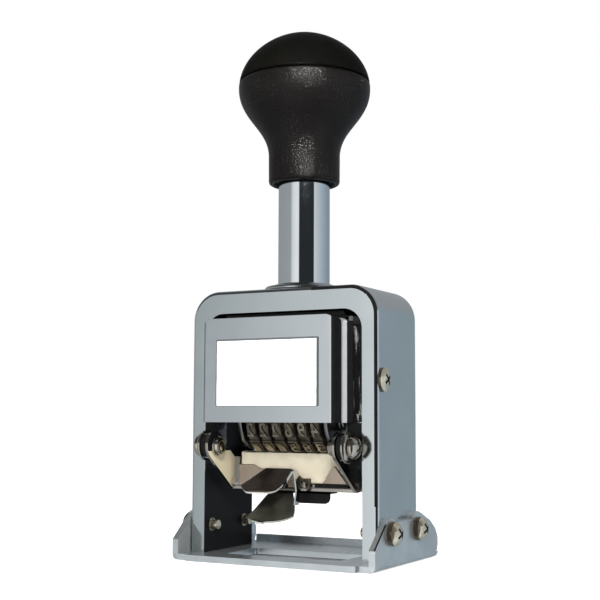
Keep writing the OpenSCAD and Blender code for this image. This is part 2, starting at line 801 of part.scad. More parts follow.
module yoke_roller() {
  out = in_w - 0.3;
  color("gainsboro") {
    rod_along_x(1, yoke_x, out - 2.2, roller_at(0)[0], roller_at(0)[1]);
    rod_along_x(roller_r, out - 2.3, out, roller_at(0)[0], roller_at(0)[1]);
  }
}

module feed_pawl() {
  tip = about_axle(ratchet_r + 0.4, pawl_angle - 17);
  root = pawl_at;
  along = (tip - root) / norm(tip - root);
  across = [-along[1], along[0]];
  color("goldenrod") difference() {
    union() {
      rod_along_x(2, wheel_x(0), -wheel_x(0), root[0], root[1]);
      for (i = [0 : wheel_count - 1]) along_x(finger_x(i), finger_x(i) + finger_t)
        polygon([
          root + 1.4 * across, root - 1.4 * across, tip - 1.6 * along - 0.8 * across,
          tip, tip - 0.9 * along + 0.5 * across
        ]);
    }
    rod_along_x(1 + run, -frame_w, frame_w, root[0], root[1]);
  }
}

// ---------- ink pad ----------

module arm_outline() {
  hub = [pivot_y, pivot_z];
  toe = [felt_front + 1.8, floor_z];
  heel = [felt_front + 6, floor_z];
  shoulder = [felt_front + 6, floor_z + 6.6];
  translate(hub) circle(hub_r);
  polygon([
    tangent(hub, hub_r, toe, -1), toe, heel, shoulder, tangent(hub, hub_r, shoulder, 1), hub
  ]);
}

module pad_carrier() {
  floor_y0 = felt_front + 1.7;
  relief_in = 5.9;
  relief_y = felt_front + relief_in;
  color("silver") difference() {
    union() {
      both_sides() {
        along_x(arm_x - sheet_t, arm_x) arm_outline();
        translate([arm_x - sheet_t - 1.9, felt_front + 3, tray_z + tray_t + gap])
          cube([2, felt_d - 3.2, 0.5]);
        translate([arm_x - sheet_t, relief_y, floor_z])
          cube([sheet_t, felt_d - relief_in - 0.2, tray_z + tray_t + gap + 0.5 - floor_z]);
      }
      translate([-arm_x, floor_y0, floor_z]) cube([2 * arm_x, felt_d - 1.9, sheet_t]);
    }
    // bend relief between each arm and the floor
    both_sides() along_x(arm_x - 2.2, arm_x + 1) polygon([
      [relief_y - 2.4, floor_z - 0.1], [relief_y, floor_z + 1.9], [relief_y, floor_z - 0.1]
    ]);
    rod_along_x(screw_r + run, -frame_w, frame_w, pivot_y, pivot_z);
    for (x = rivet_x) translate([x, rivet_y, floor_z - 1]) cylinder(r = 0.8 + fit, h = sheet_t + 2);
    translate([0, felt_front + 7.5, floor_z - 1]) cylinder(r = 2.6, h = sheet_t + 2);
  }
}

rivet_x = [-3.5, 9.5];
rivet_y = felt_front + 4;

// Curved finger rest: a petal cut out of a quarter pipe that runs along X
module petal(axis_y, axis_z, r, outline) {
  intersection() {
    along_x(-20, 20) difference() {
      translate([axis_y, axis_z]) circle(r);
      translate([axis_y, axis_z]) circle(r - 0.6);
      translate([axis_y - 2 * r, axis_z]) square(4 * r);
      translate([axis_y - 2 * r, axis_z - 2 * r]) square([2 * r - 0.9, 4 * r]);
    }
    along_y(axis_y - r, axis_y + r) translate([0, axis_z - r]) polygon(outline);
  }
}

lower_petal = concat(
  [[0.6, 9], [-7.4, 9]],
  curve([-7.4, 8.6], [-9.8, 6.6], [-11.4, 4], [-13, 1.5], 6),
  curve([-12.4, 0.9], [-8.5, -0.3], [-1.6, -0.2], [2.3, 2], 8)
);

upper_petal = concat(
  [[1.3, 7.2], [-7.4, 7.2]],
  curve([-7.4, 7.1], [-9.7, 5.6], [-12.4, 3.7], [-14.6, 2], 6),
  curve([-14.3, 1.4], [-12, -0.5], [-5, -1], [-1.8, 0.6], 8),
  [[-1, 1.7], [1.3, 6.6]]
);

module carrier_tab() {
  t = 0.6;
  r = 8.3;
  front = felt_front + 1.1;
  color("#4a4540") difference() {
    union() {
      translate([-7.4, front, floor_z - t]) cube([20.4, 5, t]);
      petal(front - r + t, floor_z - t - 0.6, r, lower_petal);
      translate([-7.4, front, floor_z - t - 0.7]) cube([8, t, 1.2]);
      along_y(front, front + t) {
        translate([2.6, floor_z - 1.6]) square([10.4, 1.6]);
        translate([2.6, floor_z - 3.5]) square([8.6, 3]);
        translate([11.2, floor_z - 1.7]) circle(1.8);
      }
    }
    for (x = rivet_x) translate([x, rivet_y, floor_z - 2]) cylinder(r = 0.8 + fit, h = 4);
  }
}

module tab_rivets() {
  color("gainsboro") for (x = rivet_x) translate([x, rivet_y, floor_z]) {
    translate([0, 0, -1.2]) cylinder(r = 1.5, h = 0.6);
    translate([0, 0, -0.7]) cylinder(r = 0.8, h = sheet_t + 0.7);
  }
}

module pad_tray() {
  z = tray_z;
  t = tray_t;
  wall_h = 5.5;
  side_h = 8.6;
  front = tray_front - 0.6;
  inner = felt_half_w + 0.1;
  lip_r = 7;
  color("silver") difference() {
    union() {
      translate([-tray_half, tray_front, z]) cube([2 * tray_half, tray_rear - tray_front, t]);
      translate([-inner - 0.8, tray_rear - t, z]) cube([2 * inner + 1.6, t, wall_h]);
      both_sides() {
        translate([inner, tray_front, z]) cube([0.8, tray_rear - tray_front, wall_h]);
      }
      // tall end flange on the left
      translate([-inner - 0.8, front, z]) cube([0.8, 4.5, side_h]);
      translate([-inner - 1.5, front, z]) cube([1.5, 0.6, side_h]);
      // front cheeks and the web behind the finger rest
      along_y(front, tray_front + 0.1) {
        polygon([
          [10.7, z], [tray_half, z], [tray_half, z + 0.9], [inner - 1.4, z + 6.2], [inner - 2.1, z + 6.2]
        ]);
        polygon([
          [-tray_half, z], [-tray_half, z + 1.3], [-inner, z + 6.3], [-11.8, z + 6.3],
          [-9.2, z + 5.1], [1.8, z + 5.1], [3, z]
        ]);
        translate([clip_x - 1.8, z]) square([3.6, 2.6]);
      }
      petal(front - lip_r + 0.1, z + 5.1, lip_r, upper_petal);
    }
    clip_hole();
  }
}

clip_x = 5.8;
clip_rise = 1;
clip_t = 0.5;

module clip_hole() {
  translate([clip_x, tray_front, tray_z + clip_rise]) rotate([90, 0, 0])
    cylinder(r = 0.6 + fit, h = 3, center = true);
}

module pad_clip() {
  y0 = tray_front - 3;
  y1 = tray_front - 0.6;
  z = tray_z;
  color("gainsboro") difference() {
    union() {
      along_y(y0, y1) polygon([
        [-0.8, z - 0.1], [2.4, z + 4.6], [2.9, z + 5], [3.5, z + 4.7], [4.3, z - 0.8], [3.7, z - 5.2],
        [3.2, z - 5.2], [3.75, z - 0.8], [3.1, z + 4], [2.9, z + 4.1], [-0.2, z - 0.4]
      ]);
      translate([3.9, y1 - clip_t, z - 0.4]) cube([clip_x - 2.2, clip_t, 2.9]);
    }
    clip_hole();
  }
}

module clip_screw() {
  color("gainsboro") translate([clip_x, tray_front - 0.6 - clip_t, tray_z + clip_rise]) rotate([90, 0, 0])
    pan_screw(1.3, 0.9, 0.6, clip_t + 0.6);
}

module felt_pad() {
  color("#ece2c6") translate([-felt_half_w, felt_front, tray_z + tray_t])
    cube([2 * felt_half_w, felt_d, felt_top - tray_z - tray_t]);
}

placed() frame();
placed() base_plate();
placed() base_screws();
placed() collar_bush();
placed() front_cover();
placed() label_plate();
placed() cover_brackets();
placed() side_screws();
placed() pivot_screws();
placed() pivot_bosses();
placed() pivot_nuts();
placed() guide_rods();
placed() return_springs();
placed() feed_cam_plate();
placed() cam_plate_screws();
placed() knob_body();
placed() knob_cap();
placed() knob_screw();
placed() plunger_tube();
placed() tube_plug();
placed() crosshead();
placed() crosshead_screws();
placed() carriage_head();
placed() carriage_side_left();
placed() carriage_side_right();
placed() wheel_axle();
placed() axle_clips();
placed() wheel_spacers();
placed() detent_comb();
placed() back_plate();
placed() number_wheel(0);  // number_wheel_1
placed() number_wheel(1);  // number_wheel_2
placed() number_wheel(2);  // number_wheel_3
placed() number_wheel(3);  // number_wheel_4
placed() number_wheel(4);  // number_wheel_5
placed() number_wheel(5);  // number_wheel_6
placed() feed_yoke();
placed() pawl_pin();
placed() yoke_roller();
placed() feed_pawl();
placed() pad_carrier();
placed() carrier_tab();
placed() tab_rivets();
placed() pad_tray();
placed() pad_clip();
placed() clip_screw();
placed() felt_pad();
placed() repeat_dial();
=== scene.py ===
import math

import bmesh
import bpy
from mathutils import Matrix, Vector, noise


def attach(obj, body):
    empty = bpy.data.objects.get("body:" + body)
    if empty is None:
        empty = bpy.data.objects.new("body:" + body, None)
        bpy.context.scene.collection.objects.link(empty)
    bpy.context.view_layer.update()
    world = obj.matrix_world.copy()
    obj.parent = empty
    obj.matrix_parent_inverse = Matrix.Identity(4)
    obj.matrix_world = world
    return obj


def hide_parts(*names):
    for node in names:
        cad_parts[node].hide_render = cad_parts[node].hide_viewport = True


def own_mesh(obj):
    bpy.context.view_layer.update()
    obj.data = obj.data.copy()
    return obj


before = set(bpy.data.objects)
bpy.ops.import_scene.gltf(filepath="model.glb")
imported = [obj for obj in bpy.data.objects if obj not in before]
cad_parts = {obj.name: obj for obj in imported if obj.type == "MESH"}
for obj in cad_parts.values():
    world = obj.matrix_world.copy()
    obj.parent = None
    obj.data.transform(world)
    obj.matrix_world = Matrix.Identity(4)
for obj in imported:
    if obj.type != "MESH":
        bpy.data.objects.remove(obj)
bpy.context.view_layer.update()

# Sizes are in millimetres unless a note says metres, with y = 0 in the middle of the frame's legs.
# The CAD origin lies 1 mm behind it.
milli = 0.001
shiftY = -1.0
axleY, axleZ = -4.5, 42.0


def toScene(point):
    return Vector((point[0] * milli, (point[1] + shiftY) * milli, point[2] * milli))


# node materials

def newMaterial(name):
    mat = bpy.data.materials.new(name)
    mat.use_nodes = True
    mat.node_tree.nodes.clear()
    return mat, mat.node_tree.nodes, mat.node_tree.links


def mathNode(nodes, links, operation, first, second=None, third=None):
    node = nodes.new("ShaderNodeMath")
    node.operation = operation
    for i, value in enumerate((first, second, third)):
        if value is None:
            continue
        if isinstance(value, (int, float)):
            node.inputs[i].default_value = value
        else:
            links.new(value, node.inputs[i])
    return node.outputs[0]


def noiseNode(nodes, links, vector, scale, detail):
    cloud = nodes.new("ShaderNodeTexNoise")
    cloud.inputs["Scale"].default_value = scale
    cloud.inputs["Detail"].default_value = detail
    links.new(vector, cloud.inputs["Vector"])
    return cloud.outputs["Fac"]


def rangeNode(nodes, links, value, side, low, high):
    scaled = nodes.new("ShaderNodeMapRange")
    scaled.inputs[side + " Min"].default_value = low
    scaled.inputs[side + " Max"].default_value = high
    links.new(value, scaled.inputs["Value"])
    return scaled.outputs["Result"]


def splitVector(nodes, links, vector):
    parts = nodes.new("ShaderNodeSeparateXYZ")
    links.new(vector, parts.inputs[0])
    return parts.outputs


# Mixes two colours, each one written out or taken from a socket
def colorMix(nodes, links, share, first, second):
    mix = nodes.new("ShaderNodeMix")
    mix.data_type = "RGBA"
    links.new(share, mix.inputs[0])
    for socket, color in ((mix.inputs[6], first), (mix.inputs[7], second)):
        if isinstance(color, tuple):
            socket.default_value = (*color, 1)
        else:
            links.new(color, socket)
    return mix.outputs[2]


# noise that clouds the colour and smudges the shine, and where its two colours lie
surface = {"cloudScale": 60, "cloudDetail": 3, "stops": (0.3, 0.7), "smudgeScale": 240, "smudgeDetail": 4}
# paler upright streaks on black paint: bare metal showing through, and painted glints
scuffsAndGlints = {"stretch": 0.16, "scale": 620, "detail": 4, "from": 0.56, "to": 0.72}


def surfaceMaterial(name, look):
    mat, nodes, links = newMaterial(name)
    out = nodes.new("ShaderNodeOutputMaterial")
    shader = nodes.new("ShaderNodeBsdfPrincipled")
    links.new(shader.outputs[0], out.inputs[0])
    shader.inputs["Metallic"].default_value = look["metal"]
    shader.inputs["Sheen Weight"].default_value = look.get("sheen", 0.0)
    shader.inputs["Specular IOR Level"].default_value = look.get("specular", 0.5)
    coords = nodes.new("ShaderNodeTexCoord")
    spot = coords.outputs["Object"]
    ramp = nodes.new("ShaderNodeValToRGB")
    for element, position, color in zip(ramp.color_ramp.elements, surface["stops"], look["colors"]):
        element.position = position
        element.color = (*color, 1)
    cloudScale = look.get("cloudScale", surface["cloudScale"])
    links.new(noiseNode(nodes, links, spot, cloudScale, surface["cloudDetail"]), ramp.inputs["Fac"])
    color = ramp.outputs["Color"]
    # paler streaks: scuffs and painted glints
    if "wearAndGlint" in look:
        stretch = nodes.new("ShaderNodeMapping")
        stretch.inputs["Scale"].default_value = (1, 1, scuffsAndGlints["stretch"])
        links.new(spot, stretch.inputs["Vector"])
        streaks = noiseNode(nodes, links, stretch.outputs["Vector"], scuffsAndGlints["scale"], scuffsAndGlints["detail"])
        scuffAndGlint = rangeNode(nodes, links, streaks, "From", scuffsAndGlints["from"], scuffsAndGlints["to"])
        color = colorMix(nodes, links, scuffAndGlint, color, look["wearAndGlint"])
    links.new(color, shader.inputs["Base Color"])
    smudge = noiseNode(nodes, links, spot, surface["smudgeScale"], surface["smudgeDetail"])
    links.new(rangeNode(nodes, links, smudge, "To", *look["rough"]), shader.inputs["Roughness"])
    if "bump" in look:
        grain = noiseNode(nodes, links, spot, look["grainScale"], look.get("grainDetail", 2))
        bump = nodes.new("ShaderNodeBump")
        bump.inputs["Strength"].default_value = look["bump"]
        bump.inputs["Distance"].default_value = look["bumpDepth"]
        links.new(grain, bump.inputs["Height"])
        links.new(bump.outputs["Normal"], shader.inputs["Normal"])
    return mat


looks = {
    "chrome": {"metal": 1.0, "colors": ((0.63, 0.675, 0.695), (0.69, 0.73, 0.75)), "rough": (0.10, 0.16),
               "bump": 0.05, "grainScale": 900, "bumpDepth": 0.00003},
    "coverPlate": {"metal": 1.0, "colors": ((0.66, 0.69, 0.72), (0.72, 0.75, 0.78)), "rough": (0.13, 0.19),
                   "bump": 0.05, "grainScale": 900, "bumpDepth": 0.00003},
    "basePlate": {"metal": 0.9, "colors": ((0.60, 0.64, 0.66), (0.74, 0.78, 0.80)), "rough": (0.24, 0.34),
                  "cloudScale": 90},
    "collarChrome": {"metal": 1.0, "colors": ((0.50, 0.53, 0.53), (0.62, 0.65, 0.65)), "rough": (0.2, 0.3)},
    "tubeChrome": {"metal": 1.0, "colors": ((0.64, 0.675, 0.70), (0.70, 0.735, 0.76)),
                   "rough": (0.04, 0.08)},
    "brightChrome": {"metal": 1.0, "colors": ((0.62, 0.62, 0.60), (0.70, 0.70, 0.68)),
                     "rough": (0.08, 0.15)},
    "trayChrome": {"metal": 1.0, "colors": ((0.42, 0.39, 0.35), (0.55, 0.51, 0.46)), "rough": (0.12, 0.22),
                   "cloudScale": 90},
    # a warm tint painted in for the felt that this sheet reflects
    "feltReflectSheet": {"metal": 1.0, "colors": ((0.43, 0.34, 0.265), (0.57, 0.465, 0.37)), "rough": (0.2, 0.32),
                  "cloudScale": 120},
    "nickel": {"metal": 1.0, "colors": ((0.44, 0.40, 0.33), (0.66, 0.61, 0.53)), "rough": (0.12, 0.24),
               "cloudScale": 500},
    "goldNickel": {"metal": 0.93, "colors": ((0.52, 0.45, 0.32), (0.95, 0.88, 0.72)), "rough": (0.12, 0.22),
                   "cloudScale": 420},
    "steel": {"metal": 1.0, "colors": ((0.20, 0.20, 0.205), (0.30, 0.30, 0.305)), "rough": (0.22, 0.36)},
    "springSteel": {"metal": 1.0, "colors": ((0.40, 0.40, 0.41), (0.52, 0.52, 0.53)),
                    "rough": (0.18, 0.30)},
    "blackMetal": {"metal": 0.0, "colors": ((0.004, 0.004, 0.0045), (0.007, 0.007, 0.0075)),
                   "rough": (0.3, 0.42), "specular": 0.12, "bump": 0.1, "grainScale": 1500,
                   "bumpDepth": 0.00003},
    # black paint with scuffs and painted glints
    "scuffedGlintBlack": {"metal": 0.0, "colors": ((0.006, 0.006, 0.0065), (0.012, 0.012, 0.0125)),
                  "rough": (0.22, 0.34), "specular": 0.3, "wearAndGlint": (0.42, 0.43, 0.40)},
    "rimMetal": {"metal": 0.4, "colors": ((0.48, 0.47, 0.43), (0.62, 0.61, 0.57)), "rough": (0.2, 0.3)},
    "typeMetal": {"metal": 0.75, "colors": ((0.06, 0.05, 0.04), (0.18, 0.155, 0.12)), "rough": (0.2, 0.36),
                  "cloudScale": 300},
    "typeFace": {"metal": 1.0, "colors": ((0.16, 0.14, 0.105), (0.46, 0.41, 0.32)), "rough": (0.14, 0.28),
                 "cloudScale": 400},
    "brassLeaf": {"metal": 1.0, "colors": ((0.58, 0.43, 0.19), (0.68, 0.52, 0.25)), "rough": (0.2, 0.32)},
    "darkTab": {"metal": 0.35, "colors": ((0.012, 0.0115, 0.0085), (0.06, 0.058, 0.046)),
                "rough": (0.16, 0.26), "cloudScale": 130, "specular": 0.3},
    "wing": {"metal": 0.35, "colors": ((0.010, 0.008, 0.0065), (0.042, 0.035, 0.030)),
             "rough": (0.14, 0.24), "cloudScale": 130, "specular": 0.3},
    "knob": {"metal": 0.0, "colors": ((0.0030, 0.0026, 0.0025), (0.0044, 0.0039, 0.0037)),
             "rough": (0.30, 0.38), "specular": 0.11, "bump": 1.0, "grainScale": 2100, "grainDetail": 2,
             "bumpDepth": 0.0002},
    # a darker copy of the knob's colour: painted shade on its top
    "shadedKnobCap": {"metal": 0.0, "colors": ((0.0015, 0.0015, 0.0012), (0.0020, 0.0020, 0.0016)),
                "rough": (0.42, 0.52), "specular": 0.02, "bump": 0.4, "grainScale": 1900, "grainDetail": 3,
                "bumpDepth": 0.0001},
    "felt": {"metal": 0.0, "colors": ((0.455, 0.41, 0.31), (0.545, 0.495, 0.39)), "rough": (0.85, 0.95),
             "sheen": 0.05, "cloudScale": 220, "bump": 0.5, "grainScale": 2600, "grainDetail": 5,
             "bumpDepth": 0.0002},
}
materials = {key: surfaceMaterial(key, look) for key, look in looks.items()}


# Plated metal with other finishes, painted shade and painted reflections laid over it. Each layer names its
# finish and the boxes it covers: x, y, z and reach (x from the middle) in millimetres, and the way a face
# points as nx, ny, nz, outward, sideways.
finishes = {
    # black paint that stands in for shade and for dark reflections
    "paintedShade": {"color": (0.0075, 0.0075, 0.008), "metal": 0.0, "rough": 0.36, "specular": 0.07},
    # a paler line that stands in for a reflected highlight
    "satin": {"color": (0.50, 0.51, 0.52), "metal": 0.45, "rough": 0.34, "specular": 0.5},
    "dullPlate": {"color": (0.34, 0.36, 0.35), "metal": 0.4, "rough": 0.4, "specular": 0.4},
    # darker gold that stands in for the shade round a screw head
    "paintedShadeGold": {"color": (0.16, 0.13, 0.09), "metal": 0.9, "rough": 0.2, "specular": 0.5},
    # grey that stands in for shade on the tray's flange
    "grey": {"color": (0.13, 0.125, 0.11), "metal": 0.2, "rough": 0.35, "specular": 0.3},
    # the felt's reflection painted in as a colour
    "paintedFeltReflection": {"color": (0.60, 0.53, 0.37), "metal": 0.0, "rough": 0.5, "specular": 0.3},
    "olive": {"color": (0.07, 0.065, 0.045), "metal": 0.6, "rough": 0.3, "specular": 0.4},
}
always = 1.01  # no part of a face's direction reaches past 1


def within(nodes, links, value, low, high):
    return mathNode(nodes, links, "COMPARE", value, (low + high) / 2, (high - low) / 2)


def combined(nodes, links, operation, values):
    total = values[0]
    for value in values[1:]:
        total = mathNode(nodes, links, operation, total, value)
    return total


def boxMask(nodes, links, given, boxes):
    masks = []
    for box in boxes:
        hits = [within(nodes, links, given[key], low, high) for key, (low, high) in box.items()]
        masks.append(combined(nodes, links, "MULTIPLY", hits))
    return combined(nodes, links, "MAXIMUM", masks)


def coated(source, name, layers):
    mat = materials[source].copy()
    mat.name = name
    nodes, links = mat.node_tree.nodes, mat.node_tree.links
    out = next(n for n in nodes if n.type == "OUTPUT_MATERIAL")
    shader = next(n for n in nodes if n.type == "BSDF_PRINCIPLED")
    coords = next(n for n in nodes if n.type == "TEX_COORD")
    measure = nodes.new("ShaderNodeMapping")
    measure.inputs["Scale"].default_value = [1 / milli] * 3
    measure.inputs["Location"].default_value = (0, -shiftY, 0)
    links.new(coords.outputs["Object"], measure.inputs["Vector"])
    place = splitVector(nodes, links, measure.outputs["Vector"])
    facing = splitVector(nodes, links, nodes.new("ShaderNodeNewGeometry").outputs["True Normal"])
    side = mathNode(nodes, links, "SIGN", place["X"])
    given = {
        "x": place["X"], "y": place["Y"], "z": place["Z"],
        "nx": facing["X"], "ny": facing["Y"], "nz": facing["Z"],
        "reach": mathNode(nodes, links, "ABSOLUTE", place["X"]),
        "outward": mathNode(nodes, links, "MULTIPLY", side, facing["X"]),
        "sideways": mathNode(nodes, links, "ABSOLUTE", facing["X"]),
    }
    top = shader.outputs[0]
    for finish, boxes in layers:
        look = finishes[finish]
        coat = nodes.new("ShaderNodeBsdfPrincipled")
        coat.inputs["Base Color"].default_value = (*look["color"], 1)
        coat.inputs["Metallic"].default_value = look["metal"]
        coat.inputs["Roughness"].default_value = look["rough"]
        coat.inputs["Specular IOR Level"].default_value = look["specular"]
        mix = nodes.new("ShaderNodeMixShader")
        links.new(boxMask(nodes, links, given, boxes), mix.inputs[0])
        links.new(top, mix.inputs[1])
        links.new(coat.outputs[0], mix.inputs[2])
        top = mix.outputs[0]
    links.new(top, out.inputs[0])
    materials[name] = mat


# painted shade on the legs inside, the window's ceiling and the lugs' fronts, and a painted dark reflection
# along the rounded front edge, right and top
coated("chrome", "frameChrome", (
    ("paintedShade", (
        {"outward": (-always, -0.3), "reach": (24.1, 26.8)},
        {"nz": (-always, -0.3), "z": (66, 90)},
        {"ny": (-always, -0.5), "reach": (0, 26.45), "z": (10, 41.5)},
        {"y": (-14.3, -12.9), "x": (27.5, 40), "z": (17.5, 90), "nx": (0.05, 0.8), "ny": (-0.999, -0.65)},
        {"y": (-14.3, -12.9), "x": (10, 40), "z": (76.5, 90), "nz": (0.05, 0.8), "ny": (-0.999, -0.65)})),))
# the cover's sides in painted shade, with a painted highlight line of satin in front
coated("coverPlate", "coverChrome", (
    ("paintedShade", ({"sideways": (0.45, always)},)),
    ("satin", ({"sideways": (0.3, always), "y": (-17.8, -14), "reach": (21.1, 22.6)},))))
# the ears inside, and a painted dark line of shade on the right ear's front edge
coated("basePlate", "baseChrome", (
    ("dullPlate", ({"outward": (-always, -0.5), "y": (-40, -14.25)},)),
    ("paintedShade", (
        {"x": (32.95, 40), "y": (-40, -13), "z": (3.2, 18), "ny": (-always, -0.45), "nz": (0.2, always)},))))
# the left arm inside: a painted reflection of the felt low down, painted shade above it
coated("trayChrome", "carrierChrome", (
    ("paintedFeltReflection", ({"x": (-20.7, -20.3), "nx": (0.5, always), "z": (18, 32.4)},)),
    ("paintedShade", ({"x": (-20.7, -20.3), "nx": (0.5, always), "z": (32.4, 45)},))))
# painted shade in the cross recesses of the screws in the ears and in the leg, and darker painted shade
# round their heads
coated("goldNickel", "screwGold", (
    ("paintedShadeGold", ({"reach": (31.3, 36.5), "sideways": (-always, 0.62)},)),
    ("paintedShade", (
        {"reach": (35.62, 37), "sideways": (-always, 0.3)},
        {"reach": (35.62, 35.78), "sideways": (0.9, always)},
        {"reach": (32.22, 33.2), "sideways": (-always, 0.3)},
        {"reach": (32.22, 32.38), "sideways": (0.9, always)}))))
coated("brightChrome", "clipChrome", (("olive", ({"x": (4.35, 12)},)),))
# a painted shadow line along the foot of the right cheek
paintedShadowLine = {"x": (8.6, 19.9), "z": (21.95, 23.25), "ny": (-always, -0.5)}
# the left flange's front is painted grey for the shade it lies in
coated("trayChrome", "trayPlate", (
    ("grey", ({"x": (-18.6, -16.5), "ny": (-always, -0.9), "z": (22.9, 31)},)), ("paintedShade", (paintedShadowLine,))))
# the cheeks: warm from the felt's painted reflection, with the painted shadow line
coated("feltReflectSheet", "cheekSheet", (("paintedShade", (paintedShadowLine,)),))


# white plate with a thin grey line round its edge, in metres
label = {"halfWidth": 0.017, "low": 0.04545, "high": 0.06525, "line": 0.0004, "rough": 0.5,
         "white": (0.93, 0.93, 0.93), "grey": (0.085, 0.094, 0.10)}


def labelMaterial():
    mat, nodes, links = newMaterial("label")
    out = nodes.new("ShaderNodeOutputMaterial")
    shader = nodes.new("ShaderNodeBsdfPrincipled")
    shader.inputs["Roughness"].default_value = label["rough"]
    links.new(shader.outputs[0], out.inputs[0])
    place = splitVector(nodes, links, nodes.new("ShaderNodeTexCoord").outputs["Object"])
    across = mathNode(nodes, links, "ABSOLUTE", place["X"])
    across = mathNode(nodes, links, "GREATER_THAN", across, label["halfWidth"] - label["line"])
    middle = (label["low"] + label["high"]) / 2
    rise = mathNode(nodes, links, "SUBTRACT", place["Z"], middle)
    rise = mathNode(nodes, links, "ABSOLUTE", rise)
    rise = mathNode(nodes, links, "GREATER_THAN", rise, (label["high"] - label["low"]) / 2 - label["line"])
    edge = mathNode(nodes, links, "MAXIMUM", across, rise)
    links.new(colorMix(nodes, links, edge, label["white"], label["grey"]), shader.inputs["Base Color"])
    return mat


materials["label"] = labelMaterial()


# mesh helpers

# edges stay sharp from these angles on
sharpFrom = {"knob": 50, "turned": 35, "sheet": 30, "felt": 80}


def linkPiece(name, mesh):
    piece = bpy.data.objects.new(name, mesh)
    bpy.context.scene.collection.objects.link(piece)
    return piece


def addPiece(name, bm, mat, body, replaced, edges):
    place = Matrix.Translation((0, shiftY * milli, 0)) @ Matrix.Scale(milli, 4)
    bmesh.ops.transform(bm, matrix=place, verts=bm.verts)
    bmesh.ops.recalc_face_normals(bm, faces=bm.faces)
    mesh = bpy.data.meshes.new(name)
    bm.to_mesh(mesh)
    bm.free()
    piece = linkPiece(name, mesh)
    mesh.materials.append(materials[mat])
    mesh.shade_smooth()
    mesh.set_sharp_from_angle(angle=math.radians(sharpFrom[edges]))
    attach(piece, body)
    if replaced:
        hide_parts(*replaced)
    return piece


# A profile of radius and height turned round Z
def lathe(profile, segments, matrix=None):
    bm = bmesh.new()
    rings = []
    for radius, height in profile:
        if radius < 1e-6:
            rings.append([bm.verts.new((0, 0, height))])
            continue
        rings.append([bm.verts.new((radius * math.cos(2 * math.pi * i / segments),
                                    radius * math.sin(2 * math.pi * i / segments), height))
                      for i in range(segments)])
    for a, b in zip(rings, rings[1:]):
        for i in range(segments):
            j = (i + 1) % segments
            corners = [a[i % len(a)], a[j % len(a)], b[j % len(b)], b[i % len(b)]]
            corners = list(dict.fromkeys(corners))
            if len(corners) > 2:
                bm.faces.new(corners)
    if matrix is not None:
        bmesh.ops.transform(bm, matrix=matrix, verts=bm.verts)
    return bm


def joinBm(target, source, materialIndex=0):
    mesh = bpy.data.meshes.new("join")
    for face in source.faces:
        face.material_index = materialIndex
    source.to_mesh(mesh)
    source.free()
    target.from_mesh(mesh)
    bpy.data.meshes.remove(mesh)


# Points of a cubic curve between two ends
def curvePoints(p0, p1, p2, p3, count):
    points = []
    for i in range(count + 1):
        t = i / count
        u = 1 - t
        points.append(tuple(u ** 3 * a + 3 * u * u * t * b + 3 * u * t * t * c + t ** 3 * d
                            for a, b, c, d in zip(p0, p1, p2, p3)))
    return points


# CAD nodes keep their shape; their edges get a small round so that they catch the light
dress = {"segments": 2, "angle": 32, "weld": 0.002, "weight": 80}


def dressNode(name, mat, width):
    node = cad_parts[name]
    mesh = node.data
    for attribute in ("custom_normal", "sharp_face", "sharp_edge"):
        if attribute in mesh.attributes:
            mesh.attributes.remove(mesh.attributes[attribute])
    mesh.polygons.foreach_set("use_smooth", [True] * len(mesh.polygons))
    mesh.materials.clear()
    mesh.materials.append(materials[mat])
    weld = node.modifiers.new("weld", "WELD")
    weld.merge_threshold = dress["weld"] * milli
    bevel = node.modifiers.new("bevel", "BEVEL")
    bevel.width = width * milli
    bevel.segments = dress["segments"]
    bevel.limit_method = "ANGLE"
    bevel.angle_limit = math.radians(dress["angle"])
    bevel.use_clamp_overlap = True
    weighted = node.modifiers.new("weighted", "WEIGHTED_NORMAL")
    weighted.weight = dress["weight"]


# each node's material and the width of its rounded edges
dressed = {
    "frame": ("frameChrome", 0.35), "base_plate": ("baseChrome", 0.3), "base_screws": ("screwGold", 0.12),
    "collar_bush": ("collarChrome", 0.15), "front_cover": ("coverChrome", 0.3),
    "label_plate": ("label", 0.08), "cover_brackets": ("scuffedGlintBlack", 0.3),
    "side_screws": ("screwGold", 0.12), "pivot_screws": ("nickel", 0.12), "pivot_bosses": ("nickel", 0.1),
    "pivot_nuts": ("nickel", 0.1), "guide_rods": ("brightChrome", 0.1),
    "feed_cam_plate": ("blackMetal", 0.15), "cam_plate_screws": ("nickel", 0.05),
    "knob_screw": ("nickel", 0.1), "tube_plug": ("steel", 0.1), "crosshead": ("blackMetal", 0.12),
    "crosshead_screws": ("nickel", 0.05), "carriage_head": ("blackMetal", 0.25),
    "carriage_side_left": ("steel", 0.12), "carriage_side_right": ("steel", 0.12),
    "wheel_axle": ("brightChrome", 0.1), "axle_clips": ("springSteel", 0.05),
    "wheel_spacers": ("steel", 0.05), "detent_comb": ("brassLeaf", 0.05), "back_plate": ("chrome", 0.12),
    "feed_yoke": ("steel", 0.12), "pawl_pin": ("brightChrome", 0.08),
    "yoke_roller": ("brightChrome", 0.06), "feed_pawl": ("brassLeaf", 0.05),
    "pad_carrier": ("carrierChrome", 0.12), "tab_rivets": ("nickel", 0.08),
    "pad_clip": ("clipChrome", 0.06), "clip_screw": ("nickel", 0.05), "repeat_dial": ("nickel", 0.1),
}
for nodeName, finish in dressed.items():
    dressNode(nodeName, *finish)
print("stage: CAD nodes dressed")


# knob

